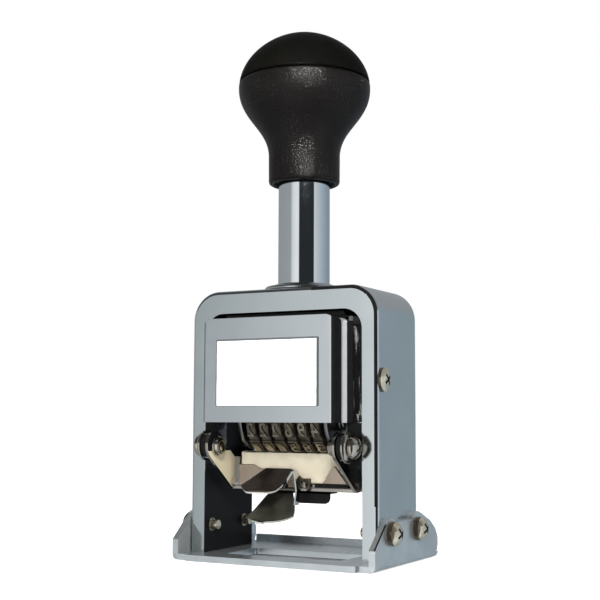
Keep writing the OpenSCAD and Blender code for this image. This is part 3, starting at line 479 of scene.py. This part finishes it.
# Edges and the foot are pairs: distance in from the dome or the neck, and height from the seam or the foot.
# The flank gives its curve's three lower points as shares of the knob's height.
knob = {
    "seam": 147.19, "middle": 145.25, "radius": 20.7, "top": 163.19, "low": 114.72, "neck": 11.15,
    "power": 0.559, "flank": (0.19, 0.251, 0.433), "waist": 0.6, "bore": 8.05, "boreDepth": 6, "rim": 0.7,
    "boreLip": 1.4,
    "bodyEdge": ((1.2, -0.3), (0.5, -0.22), (0.12, -0.42)), "capEdge": ((0.9, 0.05), (0.35, 0.1)),
    "capTurn": (0.02, 0.4),
    "foot": ((0.05, 1.6), (0.08, 0.9), (0.3, 0.35), (0.8, 0.05), (1.4, 0), (1.7, 0.3), (1.9, 1.2)),
    "segments": 160, "steps": 40, "lipSteps": 6,
}


def domeRadius(height):
    t = (height - knob["middle"]) / (knob["top"] - knob["middle"])
    return knob["radius"] * max(1 - t * t, 0) ** knob["power"]


def buildKnob():
    low, mid, seam, rad, neck = (knob[k] for k in ("low", "middle", "seam", "radius", "neck"))
    tall, steps, segments = knob["top"] - low, knob["steps"], knob["segments"]
    shoulder, throat, end = (mid - part * tall for part in knob["flank"])
    body = [(0, seam + knob["bodyEdge"][0][1])]
    body += [(domeRadius(seam) - inward, seam + up) for inward, up in knob["bodyEdge"]]
    rim = seam - knob["rim"] - mid
    heights = [mid + rim * (1 - i / knob["lipSteps"]) for i in range(knob["lipSteps"])]
    body += [(domeRadius(height), height) for height in heights]
    body += curvePoints((rad, mid), (rad, shoulder), (neck + knob["waist"], throat), (neck, end), steps)
    body += [(neck - inward, low + up) for inward, up in knob["foot"]]
    ceiling = low + knob["boreDepth"]
    body += [(knob["bore"], low + knob["boreLip"]), (knob["bore"], ceiling), (0, ceiling)]
    addPiece("knob_lower", lathe(body, segments), "knob", "plunger", ("knob_body",), "knob")
    inward, up = knob["capTurn"]
    cap = [(0, seam + knob["capEdge"][0][1])]
    cap += [(domeRadius(seam) - edge, seam + rise) for edge, rise in knob["capEdge"]]
    cap.append((domeRadius(seam + up) - inward, seam + up))
    domeTall = knob["top"] - mid
    start = math.asin((seam + knob["rim"] - mid) / domeTall)
    for i in range(steps):
        height = mid + domeTall * math.sin(start + (math.pi / 2 - start) * i / steps)
        cap.append((domeRadius(height), height))
    cap.append((0, knob["top"]))
    addPiece("knob_top", lathe(cap, segments), "shadedKnobCap", "plunger", ("knob_cap",), "knob")


buildKnob()


# plunger tube

tube = {"radius": 8.0, "inner": 6.6, "low": 66.0, "high": 136.9, "chamfer": 0.3, "segments": 128}


def buildTube():
    inner, radius, low, high, cut = (tube[k] for k in ("inner", "radius", "low", "high", "chamfer"))
    profile = [(inner, low), (radius - cut, low), (radius, low + cut), (radius, high), (inner, high)]
    tubeMesh = lathe(profile + profile[:1], tube["segments"])
    addPiece("plunger_rod", tubeMesh, "tubeChrome", "plunger", ("plunger_tube",), "turned")


buildTube()
print("stage: knob and tube")


# return springs, wound by geometry nodes

spring = {"x": 24.1, "y": 10.3, "low": 33.0, "high": 72.2, "radius": 1.95, "wire": 0.3, "turns": 10,
          "topGap": 0.1, "turnSteps": 28, "wireSides": 10}


def coilGroup():
    group = bpy.data.node_groups.new("coilOfWire", "GeometryNodeTree")
    face = group.interface
    for name, default in (("Turns", 8.0), ("Coil Radius", 0.002), ("Height", 0.03), ("Wire Radius", 0.0003)):
        item = face.new_socket(name, in_out="INPUT", socket_type="NodeSocketFloat")
        item.default_value = default
    face.new_socket("Material", in_out="INPUT", socket_type="NodeSocketMaterial")
    face.new_socket("Geometry", in_out="OUTPUT", socket_type="NodeSocketGeometry")
    nodes, links = group.nodes, group.links
    given = nodes.new("NodeGroupInput")
    out = nodes.new("NodeGroupOutput")
    spiral = nodes.new("GeometryNodeCurveSpiral")
    spiral.inputs["Resolution"].default_value = spring["turnSteps"]
    links.new(given.outputs["Turns"], spiral.inputs["Rotations"])
    links.new(given.outputs["Coil Radius"], spiral.inputs["Start Radius"])
    links.new(given.outputs["Coil Radius"], spiral.inputs["End Radius"])
    links.new(given.outputs["Height"], spiral.inputs["Height"])
    ring = nodes.new("GeometryNodeCurvePrimitiveCircle")
    ring.inputs["Resolution"].default_value = spring["wireSides"]
    links.new(given.outputs["Wire Radius"], ring.inputs["Radius"])
    wire = nodes.new("GeometryNodeCurveToMesh")
    wire.inputs["Fill Caps"].default_value = True
    links.new(spiral.outputs[0], wire.inputs["Curve"])
    links.new(ring.outputs[0], wire.inputs["Profile Curve"])
    real = nodes.new("GeometryNodeRealizeInstances")
    links.new(wire.outputs[0], real.inputs[0])
    paint = nodes.new("GeometryNodeSetMaterial")
    links.new(real.outputs[0], paint.inputs["Geometry"])
    links.new(given.outputs["Material"], paint.inputs["Material"])
    links.new(paint.outputs[0], out.inputs[0])
    return group


coilNodes = coilGroup()


# One coil as a plain mesh, in metres
def coilMesh(height):
    holder = linkPiece("coilHolder", bpy.data.meshes.new("coilHolder"))
    modifier = holder.modifiers.new("coil", "NODES")
    modifier.node_group = coilNodes
    given = {"Turns": spring["turns"], "Coil Radius": spring["radius"] * milli, "Height": height * milli,
             "Wire Radius": spring["wire"] * milli, "Material": materials["springSteel"]}
    for item in coilNodes.interface.items_tree:
        if item.item_type == "SOCKET" and item.in_out == "INPUT":
            modifier[item.identifier] = given[item.name]
    bpy.context.view_layer.update()
    mesh = bpy.data.meshes.new_from_object(holder.evaluated_get(bpy.context.evaluated_depsgraph_get()))
    bpy.data.objects.remove(holder)
    mesh.shade_smooth()
    return mesh


def buildSprings():
    tall = spring["high"] - spring["low"] - 2 * spring["wire"] - spring["topGap"]
    for side, sign in (("left", -1), ("right", 1)):
        mesh = coilMesh(tall)
        foot = toScene((sign * spring["x"], spring["y"], spring["low"] + spring["wire"]))
        mesh.transform(Matrix.Translation(foot))
        piece = linkPiece("return_spring_" + side, mesh)
        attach(piece, "stand")
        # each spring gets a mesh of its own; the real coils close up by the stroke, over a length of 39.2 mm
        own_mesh(piece)
    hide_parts("return_springs")


buildSprings()
print("stage: springs")


# number wheels with raised figures

wheel = {"count": 6, "pitch": 4.35, "gap": 0.35, "ratchet": 0.9, "drumRadius": 9.7, "faceRadius": 10.12,
         "tipRadius": 10.5, "bore": 2.05, "segments": 80, "shown": (0, 0, 0, 4, 7, 2)}
figure = {"count": 10, "width": 2.35, "height": 4.3, "textSize": 5.4, "thick": 0.2, "round": 0.06,
          "sunk": 0.27}
drum = {"hub": 3.4, "hubBack": 0.1, "hollow": 0.5, "rimWall": 1.9, "round": 0.15}
block = {"side": 4.7, "root": 1.2, "edge": 0.25, "taper": 0.22, "inset": 0.02}
ratchet = {"tooth": ((0, 6.4), (8, 7.0), (16, 7.3), (25, 7.65), (33, 7.9)), "play": 0.01}
figureTurn = 360 / figure["count"]  # degrees from one figure to the next


def figureMeshes():
    meshes = []
    for digit in range(figure["count"]):
        curve = bpy.data.curves.new("figure", "FONT")
        curve.body = str(digit)
        curve.size = figure["textSize"]
        curve.align_x = "CENTER"
        curve.align_y = "CENTER"
        curve.extrude = figure["thick"]
        curve.bevel_depth = figure["round"]
        curve.bevel_resolution = 1
        holder = linkPiece("figure", curve)
        bpy.context.view_layer.update()
        mesh = bpy.data.meshes.new_from_object(holder.evaluated_get(bpy.context.evaluated_depsgraph_get()))
        bpy.data.objects.remove(holder)
        xs = [v.co.x for v in mesh.vertices]
        ys = [v.co.y for v in mesh.vertices]
        wide, tall = max(xs) - min(xs), max(ys) - min(ys)
        middle = Vector(((max(xs) + min(xs)) / 2, (max(ys) + min(ys)) / 2, 0))
        scale = Matrix.Diagonal((figure["width"] / wide, figure["height"] / tall, 1, 1))
        mesh.transform(scale @ Matrix.Translation(-middle))
        meshes.append(mesh)
    return meshes


# A type block: sides taper to the face, in the wheel's own frame with X along the axle
def typeBlock(bm, left, right, angle):
    half = block["side"] / 2
    root, face = wheel["drumRadius"] - block["root"], wheel["faceRadius"]
    turn = Matrix.Rotation(angle, 4, "X")
    corners = []
    for radius, inset in ((root, 0), (face - block["edge"], block["inset"]), (face, block["taper"])):
        for x, y in ((left + inset, -half + inset), (right - inset, -half + inset),
                     (right - inset, half - inset), (left + inset, half - inset)):
            corners.append(bm.verts.new(turn @ Vector((x, y, radius))))
    for level in (0, 4):
        lower, upper = corners[level:level + 4], corners[level + 4:level + 8]
        for i in range(4):
            j = (i + 1) % 4
            bm.faces.new((lower[i], lower[j], upper[j], upper[i]))
    bm.faces.new(corners[8:12])
    bm.faces.new(reversed(corners[0:4]))


# A ratchet ring: toothed outside, bored for the axle, with rings in the order of its section
def ratchetMesh(bm, left, right):
    bore = wheel["bore"] + ratchet["play"]
    rings = []
    for x, bored in ((left, False), (left, True), (right, True), (right, False)):
        ring = []
        for k in range(figure["count"]):
            for step, radius in ratchet["tooth"]:
                a = math.radians(figureTurn * k + step)
                reach = bore if bored else radius
                ring.append(bm.verts.new((x, reach * math.sin(a), -reach * math.cos(a))))
        rings.append(ring)
    for near, far in zip(rings, rings[1:] + rings[:1]):
        for i in range(len(near)):
            j = (i + 1) % len(near)
            bm.faces.new((near[i], near[j], far[j], far[i]))


# Section of a wheel's drum: bore, hub, hollow right side, rounded rim
def drumProfile(left, right):
    bore, rim, cut = wheel["bore"], wheel["drumRadius"], drum["round"]
    hub, hollow, web = drum["hub"], rim - drum["rimWall"], right - drum["hollow"]
    return [(bore, left), (bore, right - drum["hubBack"]), (hub, right - drum["hubBack"]), (hub + 0.1, web),
            (hollow, web), (hollow + 0.1, right), (rim - cut, right), (rim, right - cut), (rim, left + cut),
            (rim - cut, left), (bore, left)]


def buildWheels():
    figures = figureMeshes()
    span = wheel["count"] * wheel["pitch"]
    for index in range(wheel["count"]):
        left = -span / 2 + wheel["gap"] / 2 + index * wheel["pitch"]
        drumLeft = left + wheel["ratchet"]
        right = left + wheel["pitch"] - wheel["gap"]
        bm = bmesh.new()
        profile = drumProfile(drumLeft, right)
        joinBm(bm, lathe(profile, wheel["segments"], Matrix.Rotation(math.pi / 2, 4, "Y")))
        ratchetMesh(bm, left + 2 * ratchet["play"], drumLeft - ratchet["play"])
        for k in range(figure["count"]):
            angle = math.radians(180 + figureTurn * k)
            typeBlock(bm, drumLeft + block["inset"], right - block["inset"], angle)
        for k in range(figure["count"]):
            digit = (wheel["shown"][index] + k) % figure["count"]
            copy = bmesh.new()
            copy.from_mesh(figures[digit])
            # figures are mirrored, as type is, and their tops point round the wheel
            flip = Matrix.Diagonal((-1, 1, 1, 1))
            lift = Matrix.Translation(((drumLeft + right) / 2, 0, wheel["tipRadius"] - figure["sunk"]))
            turn = Matrix.Rotation(math.radians(180 - figureTurn * k), 4, "X")
            bmesh.ops.transform(copy, matrix=turn @ lift @ flip, verts=copy.verts)
            bmesh.ops.reverse_faces(copy, faces=copy.faces)
            joinBm(bm, copy, 1)
        bmesh.ops.translate(bm, vec=(0, axleY, axleZ), verts=bm.verts)
        name = "wheel_%d" % (index + 1)
        piece = addPiece(name + "_type", bm, "typeMetal", name + "_body", ("number_" + name,),
                         "turned")
        piece.data.materials.append(materials["typeFace"])
    for mesh in figures:
        bpy.data.meshes.remove(mesh)


buildWheels()
print("stage: wheels")


# pad tray: bent sheet with its curved finger rest

tray = {"half": 19.8, "front": -9.1, "rear": 4.0, "low": 22.0, "sheet": 0.8, "inner": 17.0, "wall": 5.5,
        "wingTall": 8.6, "wingWide": 1.5, "wingProud": 0.6, "fold": 3.9, "foldProud": 0.3, "sunk": 0.1,
        "apart": 0.02, "cheekSunk": 0.05, "cheekRound": 0.12}
# outlines in X and height above the tray's underside, each with how far it stands proud in front
cheeks = (
    {"proud": 0.6, "outline": ((10.7, 0), (19.8, 0), (19.8, 0.9), (15.6, 6.2), (14.9, 6.2))},
    {"proud": 0.55, "outline": ((-19.8, 0), (6.4, 0), (5.6, 1.9), (1.8, 5.1), (-9.2, 5.1), (-11.8, 6.3),
                                (-17.0, 6.3), (-19.8, 1.3))},
    {"proud": 0.6, "outline": ((4, 0), (7.6, 0), (7.6, 2.6), (4, 2.6))},
)
# The curved rests: top and tip are Y and Z; tilt, axisY and radius shape the scoop. The outlines are X and
# height above the tip: head and heel are corners, flank and lip are cubic curves.
upperRest = {
    "top": (-9.65, 27.1), "tip": (-17.3, 20.1), "tilt": 33, "axisY": -16.6, "radius": 7.0, "sheet": 0.5,
    "blunt": 1.6, "head": [(1.3, 7.0), (-7.4, 7.0)], "heel": [(-1.0, 1.7), (1.3, 6.6)],
    "flank": ((-7.4, 6.95), (-9.7, 5.6), (-12.4, 3.7), (-14.55, 2.0)),
    "lip": ((-14.3, 1.45), (-12.0, -0.5), (-5.0, -1.0), (-1.8, 0.6)),
}
lowerRest = {
    "top": (-7.35, 19.5), "tip": (-15.9, 11.2), "tilt": 30, "axisY": -15.6, "radius": 8.3, "sheet": 0.55,
    "blunt": 0.0, "head": [(0.6, 9), (-7.4, 9)], "heel": [],
    "flank": ((-7.4, 8.6), (-9.8, 6.6), (-11.4, 4), (-13, 1.5)),
    "lip": ((-12.4, 0.9), (-8.5, -0.3), (-1.6, -0.2), (2.3, 2)),
}
scoop = {"rows": 34, "columns": 20, "slant": 0.54, "bluntFrom": 0.86, "rimFrom": 0.4, "flankSteps": 14,
         "lipSteps": 18, "margin": 0.02}


def boxPiece(bm, low, high):
    made = bmesh.ops.create_cube(bm, size=1)
    size = [b - a for a, b in zip(low, high)]
    middle = [(a + b) / 2 for a, b in zip(low, high)]
    bmesh.ops.scale(bm, vec=size, verts=made["verts"])
    bmesh.ops.translate(bm, vec=middle, verts=made["verts"])


# Outline in X and Z made solid between two depths
def platePiece(bm, outline, front, rear):
    rings = [[bm.verts.new((x, y, z)) for x, z in outline] for y in (front, rear)]
    count = len(outline)
    for i in range(count):
        j = (i + 1) % count
        bm.faces.new((rings[0][i], rings[0][j], rings[1][j], rings[1][i]))
    bm.faces.new(rings[0])
    bm.faces.new(list(reversed(rings[1])))


# Width of a front outline at one height
def spanAt(outline, height):
    hits = []
    for (x0, z0), (x1, z1) in zip(outline, outline[1:] + outline[:1]):
        if (z0 - height) * (z1 - height) <= 0 and z0 != z1:
            hits.append(x0 + (x1 - x0) * (height - z0) / (z1 - z0))
    return min(hits), max(hits)


def restOutline(rest):
    outline = rest["head"] + curvePoints(*rest["flank"], scoop["flankSteps"])
    outline += curvePoints(*rest["lip"], scoop["lipSteps"]) + rest["heel"]
    return [(x, min(z + rest["tip"][1], rest["top"][1])) for x, z in outline]


# A petal of sheet hollowed like a scoop. Its section runs from the top down to the tip, where it lies flat;
# the outline gives its width at each height, and slant moves the parts that stand forward sideways.
def restMesh(rest):
    outline = restOutline(rest)
    rows, columns, slant = scoop["rows"], scoop["columns"], scoop["slant"]
    (y0, z0), (y2, z2) = rest["top"], rest["tip"]
    tilt = math.radians(rest["tilt"])
    y1 = y0 - (z0 - z2) * math.tan(tilt)
    low, high = min(z for x, z in outline) + scoop["margin"], max(z for x, z in outline) - scoop["margin"]
    spans = []
    for i in range(rows + 1):
        t = i / rows
        u = 1 - t
        y, z = u * u * y0 + 2 * u * t * y1 + t * t * y2, u * u * z0 + (1 - u * u) * z2
        left, right = spanAt(outline, min(max(z, low), high))
        pipe = rest["axisY"] + math.sqrt(max(rest["radius"] ** 2 - (rest["radius"] - (z - z2)) ** 2, 0))
        cut = rest["blunt"] * max((t - scoop["bluntFrom"]) / (1 - scoop["bluntFrom"]), 0) ** 2
        side = slant * (pipe - y)
        flow = Vector((2 * u * (y1 - y0) + 2 * t * (y2 - y1), 2 * u * (z2 - z0))).normalized()
        spans.append((y, z, left + side + cut, right + side - cut, flow))
    bm = bmesh.new()
    grids = []
    for thick in (0, rest["sheet"]):
        grid = []
        for y, z, left, right, flow in spans:
            across = [left + (right - left) * j / columns for j in range(columns + 1)]
            grid.append([bm.verts.new((x, y + flow[1] * thick, z - flow[0] * thick)) for x in across])
        grids.append(grid)
    for grid in grids:
        for i in range(rows):
            for j in range(columns):
                bm.faces.new((grid[i][j], grid[i][j + 1], grid[i + 1][j + 1], grid[i + 1][j]))
    rim = [(0, j) for j in range(columns + 1)] + [(i, columns) for i in range(1, rows + 1)]
    rim += [(rows, j) for j in range(columns - 1, -1, -1)] + [(i, 0) for i in range(rows - 1, 0, -1)]
    for (i0, j0), (i1, j1) in zip(rim, rim[1:] + rim[:1]):
        face = bm.faces.new((grids[0][i0][j0], grids[0][i1][j1], grids[1][i1][j1], grids[1][i0][j0]))
        face.material_index = 1 if i0 > rows * scoop["rimFrom"] else 0
    return bm


def buildRest(name, rest, mat, body, replaced):
    piece = addPiece(name, restMesh(rest), mat, body, replaced, "turned")
    piece.data.materials.append(materials["rimMetal"])


# Sheets that meet stay a little off each other's planes, by apart or a few times that
def buildTray():
    low, front, rear, inner, half = (tray[k] for k in ("low", "front", "rear", "inner", "half"))
    sheet, apart, foot = tray["sheet"], tray["apart"], tray["low"] + tray["sunk"]
    outer, wallTop, wingTop = tray["inner"] + tray["sheet"], low + tray["wall"], low + tray["wingTall"]
    bm = bmesh.new()
    boxPiece(bm, (-half, front, low), (half, rear, low + sheet))
    boxPiece(bm, (-outer + apart, rear - sheet, foot), (outer - apart, rear - apart, wallTop - apart))
    for sign in (-1, 1):
        x0, x1 = sorted((sign * inner, sign * outer))
        boxPiece(bm, (x0, front + apart, foot + apart), (x1, rear - 2 * apart, wallTop))
    boxPiece(bm, (-outer + 2 * apart, front - tray["foldProud"], foot + 2 * apart),
             (-inner - 2 * apart, front + tray["fold"], wingTop - 2 * apart))
    boxPiece(bm, (-inner - tray["wingWide"], front - tray["wingProud"], low), (-inner, front, wingTop))
    addPiece("tray_sheet", bm, "trayPlate", "pad_tray_body", ("pad_tray",), "sheet")
    bm = bmesh.new()
    for cheek in cheeks:
        outline = [(x, z + low) for x, z in cheek["outline"]]
        platePiece(bm, outline, front - cheek["proud"], front + tray["cheekSunk"])
    plates = addPiece("tray_cheeks", bm, "cheekSheet", "pad_tray_body", (), "sheet")
    bevel = plates.modifiers.new("bevel", "BEVEL")
    bevel.width, bevel.segments = tray["cheekRound"] * milli, 2
    buildRest("tray_finger_rest", upperRest, "wing", "pad_tray_body", ())


# the carrier's rounded tab, hung under its floor; apart and lipApart keep its top off the floor's plane
tab = {"left": -7.4, "stepX": 0.6, "cornerX": 2.6, "right": 13, "front": -7.9, "deep": 5, "floor": 20.7,
       "sheet": 0.6, "lip": 0.7, "drop": 3.5, "radius": 1.8, "corner": (11.2, 1.7), "cornerSteps": 8,
       "apart": 0.01, "lipApart": 0.2}


def buildCarrierTab():
    buildRest("carrier_finger_rest", lowerRest, "darkTab", "pad_carrier_body", ("carrier_tab",))
    floor, front, sheet, radius = (tab[k] for k in ("floor", "front", "sheet", "radius"))
    bm = bmesh.new()
    rear, top, lipTop = front + tab["deep"], floor - tab["apart"], floor - tab["lipApart"]
    boxPiece(bm, (tab["left"], front, floor - sheet), (tab["right"], rear, top))
    boxPiece(bm, (tab["left"], front, floor - sheet - tab["lip"]), (tab["stepX"], front + sheet, lipTop))
    cornerX, drop = tab["corner"]
    outline = [(tab["cornerX"], floor), (tab["right"], floor), (tab["right"], floor - drop)]
    for i in range(1, tab["cornerSteps"] + 1):
        angle = -math.pi / 2 * i / tab["cornerSteps"]
        outline.append((cornerX + radius * math.cos(angle), floor - drop + radius * math.sin(angle)))
    outline.append((tab["cornerX"], floor - tab["drop"]))
    platePiece(bm, outline, front, front + sheet)
    addPiece("carrier_tab_sheet", bm, "blackMetal", "pad_carrier_body", (), "sheet")


buildTray()
buildCarrierTab()
print("stage: tray and tab")


# felt pad

felt = {"half": 17.0, "front": -9.0, "rear": 3.1, "low": 22.85, "high": 32.3, "trough": 10.9,
        "troughHalf": 14.6, "round": 0.7, "cuts": (72, 26, 18), "shrink": 0.12, "settle": 0.8, "seed": 7,
        "roundSteps": 4, "merge": 0.01}
# unevenness of the felt: noise scale and height, on the sides and in the trough
lumps, troughLumps = ((0.5, 0.10), (2.3, 0.07)), (1.1, 0.05)


def feltGrid(bm, sizes):
    for axis, (size, count) in enumerate(zip(sizes, felt["cuts"])):
        for i in range(1, count):
            point, normal = Vector((0, 0, 0)), Vector((0, 0, 0))
            point[axis] = -size / 2 + size * i / count
            normal[axis] = 1
            parts = bm.verts[:] + bm.edges[:] + bm.faces[:]
            bmesh.ops.bisect_plane(bm, geom=parts, plane_co=point, plane_no=normal)
    bmesh.ops.remove_doubles(bm, verts=bm.verts, dist=felt["merge"])


def buildFelt():
    bm = bmesh.new()
    bmesh.ops.create_cube(bm, size=1)
    sizes = (2 * felt["half"], felt["rear"] - felt["front"], felt["high"] - felt["low"])
    bmesh.ops.scale(bm, vec=sizes, verts=bm.verts)
    bmesh.ops.bevel(bm, geom=bm.edges, offset=felt["round"], segments=felt["roundSteps"], affect="EDGES",
                    profile=0.5)
    feltGrid(bm, sizes)
    noise.seed_set(felt["seed"])
    for vert in bm.verts:
        soft = sum(noise.noise(vert.co * scale) * height for scale, height in lumps)
        inward = Vector([-part / (size / 2) for part, size in zip(vert.co, sizes)])
        vert.co += inward * (felt["shrink"] + soft) * felt["settle"]
    middle = (0, (felt["front"] + felt["rear"]) / 2, (felt["low"] + felt["high"]) / 2)
    bmesh.ops.translate(bm, vec=middle, verts=bm.verts)
    # the top is worn into a trough by the type
    lumpScale, lumpHeight = troughLumps
    for vert in bm.verts:
        p = vert.co
        sag = math.sqrt(max(felt["trough"] ** 2 - (p.y - axleY) ** 2, 0))
        ceiling = axleZ - sag + noise.noise(p * lumpScale) * lumpHeight
        if abs(p.x) < felt["troughHalf"]:
            p.z = min(p.z, ceiling)
    pad = addPiece("felt_block", bm, "felt", "pad_tray_body", ("felt_pad",), "felt")


buildFelt()
print("stage: felt")


# floor, world, lamps and camera, in metres where nothing else is said

floor = {"half": 6.0, "drop": 0.0002, "color": (0.8, 0.8, 0.8), "glow": 0.62,
         "shadeColor": (0.26, 0.27, 0.28), "shadeX": (-0.025, 0.025), "shadeY": (-0.016, 0.006)}


def lightPath(nodes, links):
    path = nodes.new("ShaderNodeLightPath").outputs
    seen = mathNode(nodes, links, "MAXIMUM", path["Is Camera Ray"], path["Is Transmission Ray"])
    return seen, path["Is Glossy Ray"]


def floorMaterial():
    mat, nodes, links = newMaterial("floorWhite")
    out = nodes.new("ShaderNodeOutputMaterial")
    matte = nodes.new("ShaderNodeBsdfDiffuse")
    glow = nodes.new("ShaderNodeEmission")
    # in the printing window the floor lies in the object's own shade
    place = splitVector(nodes, links, nodes.new("ShaderNodeTexCoord").outputs["Object"])
    under = boxMask(nodes, links, place, ({"X": floor["shadeX"], "Y": floor["shadeY"]},))
    links.new(colorMix(nodes, links, under, floor["color"], floor["shadeColor"]), matte.inputs["Color"])
    seen = lightPath(nodes, links)[0]
    seen = mathNode(nodes, links, "MULTIPLY", seen, mathNode(nodes, links, "SUBTRACT", 1.0, under))
    links.new(mathNode(nodes, links, "MULTIPLY", seen, floor["glow"]), glow.inputs["Strength"])
    both = nodes.new("ShaderNodeAddShader")
    links.new(matte.outputs[0], both.inputs[0])
    links.new(glow.outputs[0], both.inputs[1])
    links.new(both.outputs[0], out.inputs[0])
    return mat


def buildFloor():
    mesh = bpy.data.meshes.new("floor")
    half = floor["half"]
    corners = [(-half, -half, 0), (half, -half, 0), (half, half, 0), (-half, half, 0)]
    mesh.from_pydata(corners, [], [(0, 1, 2, 3)])
    mesh.materials.append(floorMaterial())
    piece = linkPiece("floor", mesh)
    piece.location.z = -floor["drop"]
    piece.visible_glossy = False


# What the plated parts mirror: softboxes either side of the camera, dark between them.
# Each band gives an angle to the right of the camera and the brightness there.
studio = {
    "diffuse": 0.55, "lowTop": 0.22, "highFrom": 0.31,
    "level": ((-180, (0.30, 0.32, 0.34)), (-132, (0.36, 0.38, 0.39)), (-79, (0.40, 0.42, 0.43)),
              (-63, (0.40, 0.43, 0.44)), (-53, (0.84, 0.86, 0.86)), (-37, (0.98, 0.99, 1.0)),
              (-24, (1.0, 1.0, 1.0)), (-22, (0.025, 0.030, 0.032)), (43.5, (0.025, 0.030, 0.032)),
              (45.5, (0.80, 0.82, 0.84)), (59, (0.66, 0.70, 0.72)), (91, (0.44, 0.52, 0.60)),
              (126, (0.31, 0.37, 0.41)), (180, (0.30, 0.32, 0.34))),
    "ceiling": ((-180, (0.34, 0.35, 0.36)), (-145, (0.34, 0.35, 0.36)), (-130, (0.07, 0.07, 0.07)),
                (55, (0.05, 0.05, 0.05)), (85, (0.34, 0.36, 0.38)), (180, (0.34, 0.35, 0.36))),
}


def bandRamp(nodes, links, angle, bands):
    ramp = nodes.new("ShaderNodeValToRGB")
    elements = ramp.color_ramp.elements
    while len(elements) > 1:
        elements.remove(elements[-1])
    elements[0].position = 0
    elements[0].color = (*bands[0][1], 1)
    for degrees, color in bands[1:]:
        element = elements.new(degrees / 360 + 0.5)
        element.color = (*color, 1)
    links.new(angle, ramp.inputs["Fac"])
    return ramp.outputs["Color"]


def buildWorld():
    world = bpy.data.worlds.new("studio")
    bpy.context.scene.world = world
    world.use_nodes = True
    nodes, links = world.node_tree.nodes, world.node_tree.links
    nodes.clear()
    out = nodes.new("ShaderNodeOutputWorld")
    coords = nodes.new("ShaderNodeTexCoord")
    turn = nodes.new("ShaderNodeMapping")
    turn.inputs["Rotation"].default_value = (0, 0, math.radians(90 - cameraSettings["yaw"]))
    links.new(coords.outputs["Generated"], turn.inputs["Vector"])
    around = nodes.new("ShaderNodeTexGradient")
    around.gradient_type = "RADIAL"
    links.new(turn.outputs["Vector"], around.inputs["Vector"])
    level = bandRamp(nodes, links, around.outputs["Fac"], studio["level"])
    ceiling = bandRamp(nodes, links, around.outputs["Fac"], studio["ceiling"])
    height = splitVector(nodes, links, coords.outputs["Generated"])["Z"]
    rise = rangeNode(nodes, links, height, "From", studio["lowTop"], studio["highFrom"])
    mirrored = colorMix(nodes, links, rise, level, ceiling)
    seen, glossy = lightPath(nodes, links)
    strength = mathNode(nodes, links, "MULTIPLY_ADD", seen, 1 - studio["diffuse"], studio["diffuse"])
    flat = nodes.new("ShaderNodeBackground")
    links.new(strength, flat.inputs["Strength"])
    flat.inputs["Color"].default_value = (1, 1, 1, 1)
    banded = nodes.new("ShaderNodeBackground")
    links.new(mirrored, banded.inputs["Color"])
    choose = nodes.new("ShaderNodeMixShader")
    links.new(glossy, choose.inputs[0])
    links.new(flat.outputs[0], choose.inputs[1])
    links.new(banded.outputs[0], choose.inputs[2])
    links.new(choose.outputs[0], out.inputs[0])


lamps = (
    {"name": "key", "at": (-0.35, -0.55, 0.62), "size": 0.42, "power": 4.0},
    {"name": "fill", "at": (0.65, -0.35, 0.35), "size": 0.5, "power": 1.6},
    {"name": "top", "at": (0.05, 0.1, 0.85), "size": 0.4, "power": 1.6},
    {"name": "front", "at": (0.172, -0.322, 0.235), "size": 0.09, "power": 1.6},
    {"name": "knobLight", "at": (0.172, -0.322, 0.235), "aim": (0, 0, 0.138), "spread": 7, "size": 0.05,
     "power": 0.026, "mirrored": True},
)


def buildLamps():
    for lamp in lamps:
        data = bpy.data.lights.new(lamp["name"], "AREA")
        data.shape = "SQUARE"
        data.size = lamp["size"]
        data.energy = lamp["power"]
        light = bpy.data.objects.new(lamp["name"], data)
        light.location = lamp["at"]
        data.spread = math.radians(lamp.get("spread", 180))
        aim = Vector(lamp.get("aim", (0, 0, 0.08))) - light.location
        light.rotation_euler = aim.to_track_quat("-Z", "Y").to_euler()
        light.visible_glossy = lamp.get("mirrored", False)
        bpy.context.scene.collection.objects.link(light)


# place, lens and sensor in millimetres, angles in degrees, near in metres
cameraSettings = {"at": (167.85, -313.301, 42.075), "yaw": 28.374, "pitch": 5.88, "roll": 0.202,
                  "lens": 69.2245, "sensor": 36.0, "near": 0.01}


def buildCamera():
    data = bpy.data.cameras.new("camera")
    data.sensor_width = cameraSettings["sensor"]
    data.lens = cameraSettings["lens"]
    data.clip_start = cameraSettings["near"]
    camera = bpy.data.objects.new("camera", data)
    yaw, pitch, roll = (math.radians(cameraSettings[k]) for k in ("yaw", "pitch", "roll"))
    forward = Vector((-math.sin(yaw) * math.cos(pitch), math.cos(yaw) * math.cos(pitch), math.sin(pitch)))
    right = Vector((math.cos(yaw), math.sin(yaw), 0))
    up = right.cross(forward)
    rolled = right * math.cos(roll) + up * math.sin(roll)
    lifted = up * math.cos(roll) - right * math.sin(roll)
    matrix = Matrix((rolled, lifted, -forward)).transposed().to_4x4()
    matrix.translation = toScene(cameraSettings["at"])
    camera.matrix_world = matrix
    bpy.context.scene.collection.objects.link(camera)
    bpy.context.scene.camera = camera


buildFloor()
buildWorld()
buildLamps()
buildCamera()
bpy.context.scene.view_settings.view_transform = "Standard"
print("stage: floor, lamps and camera")
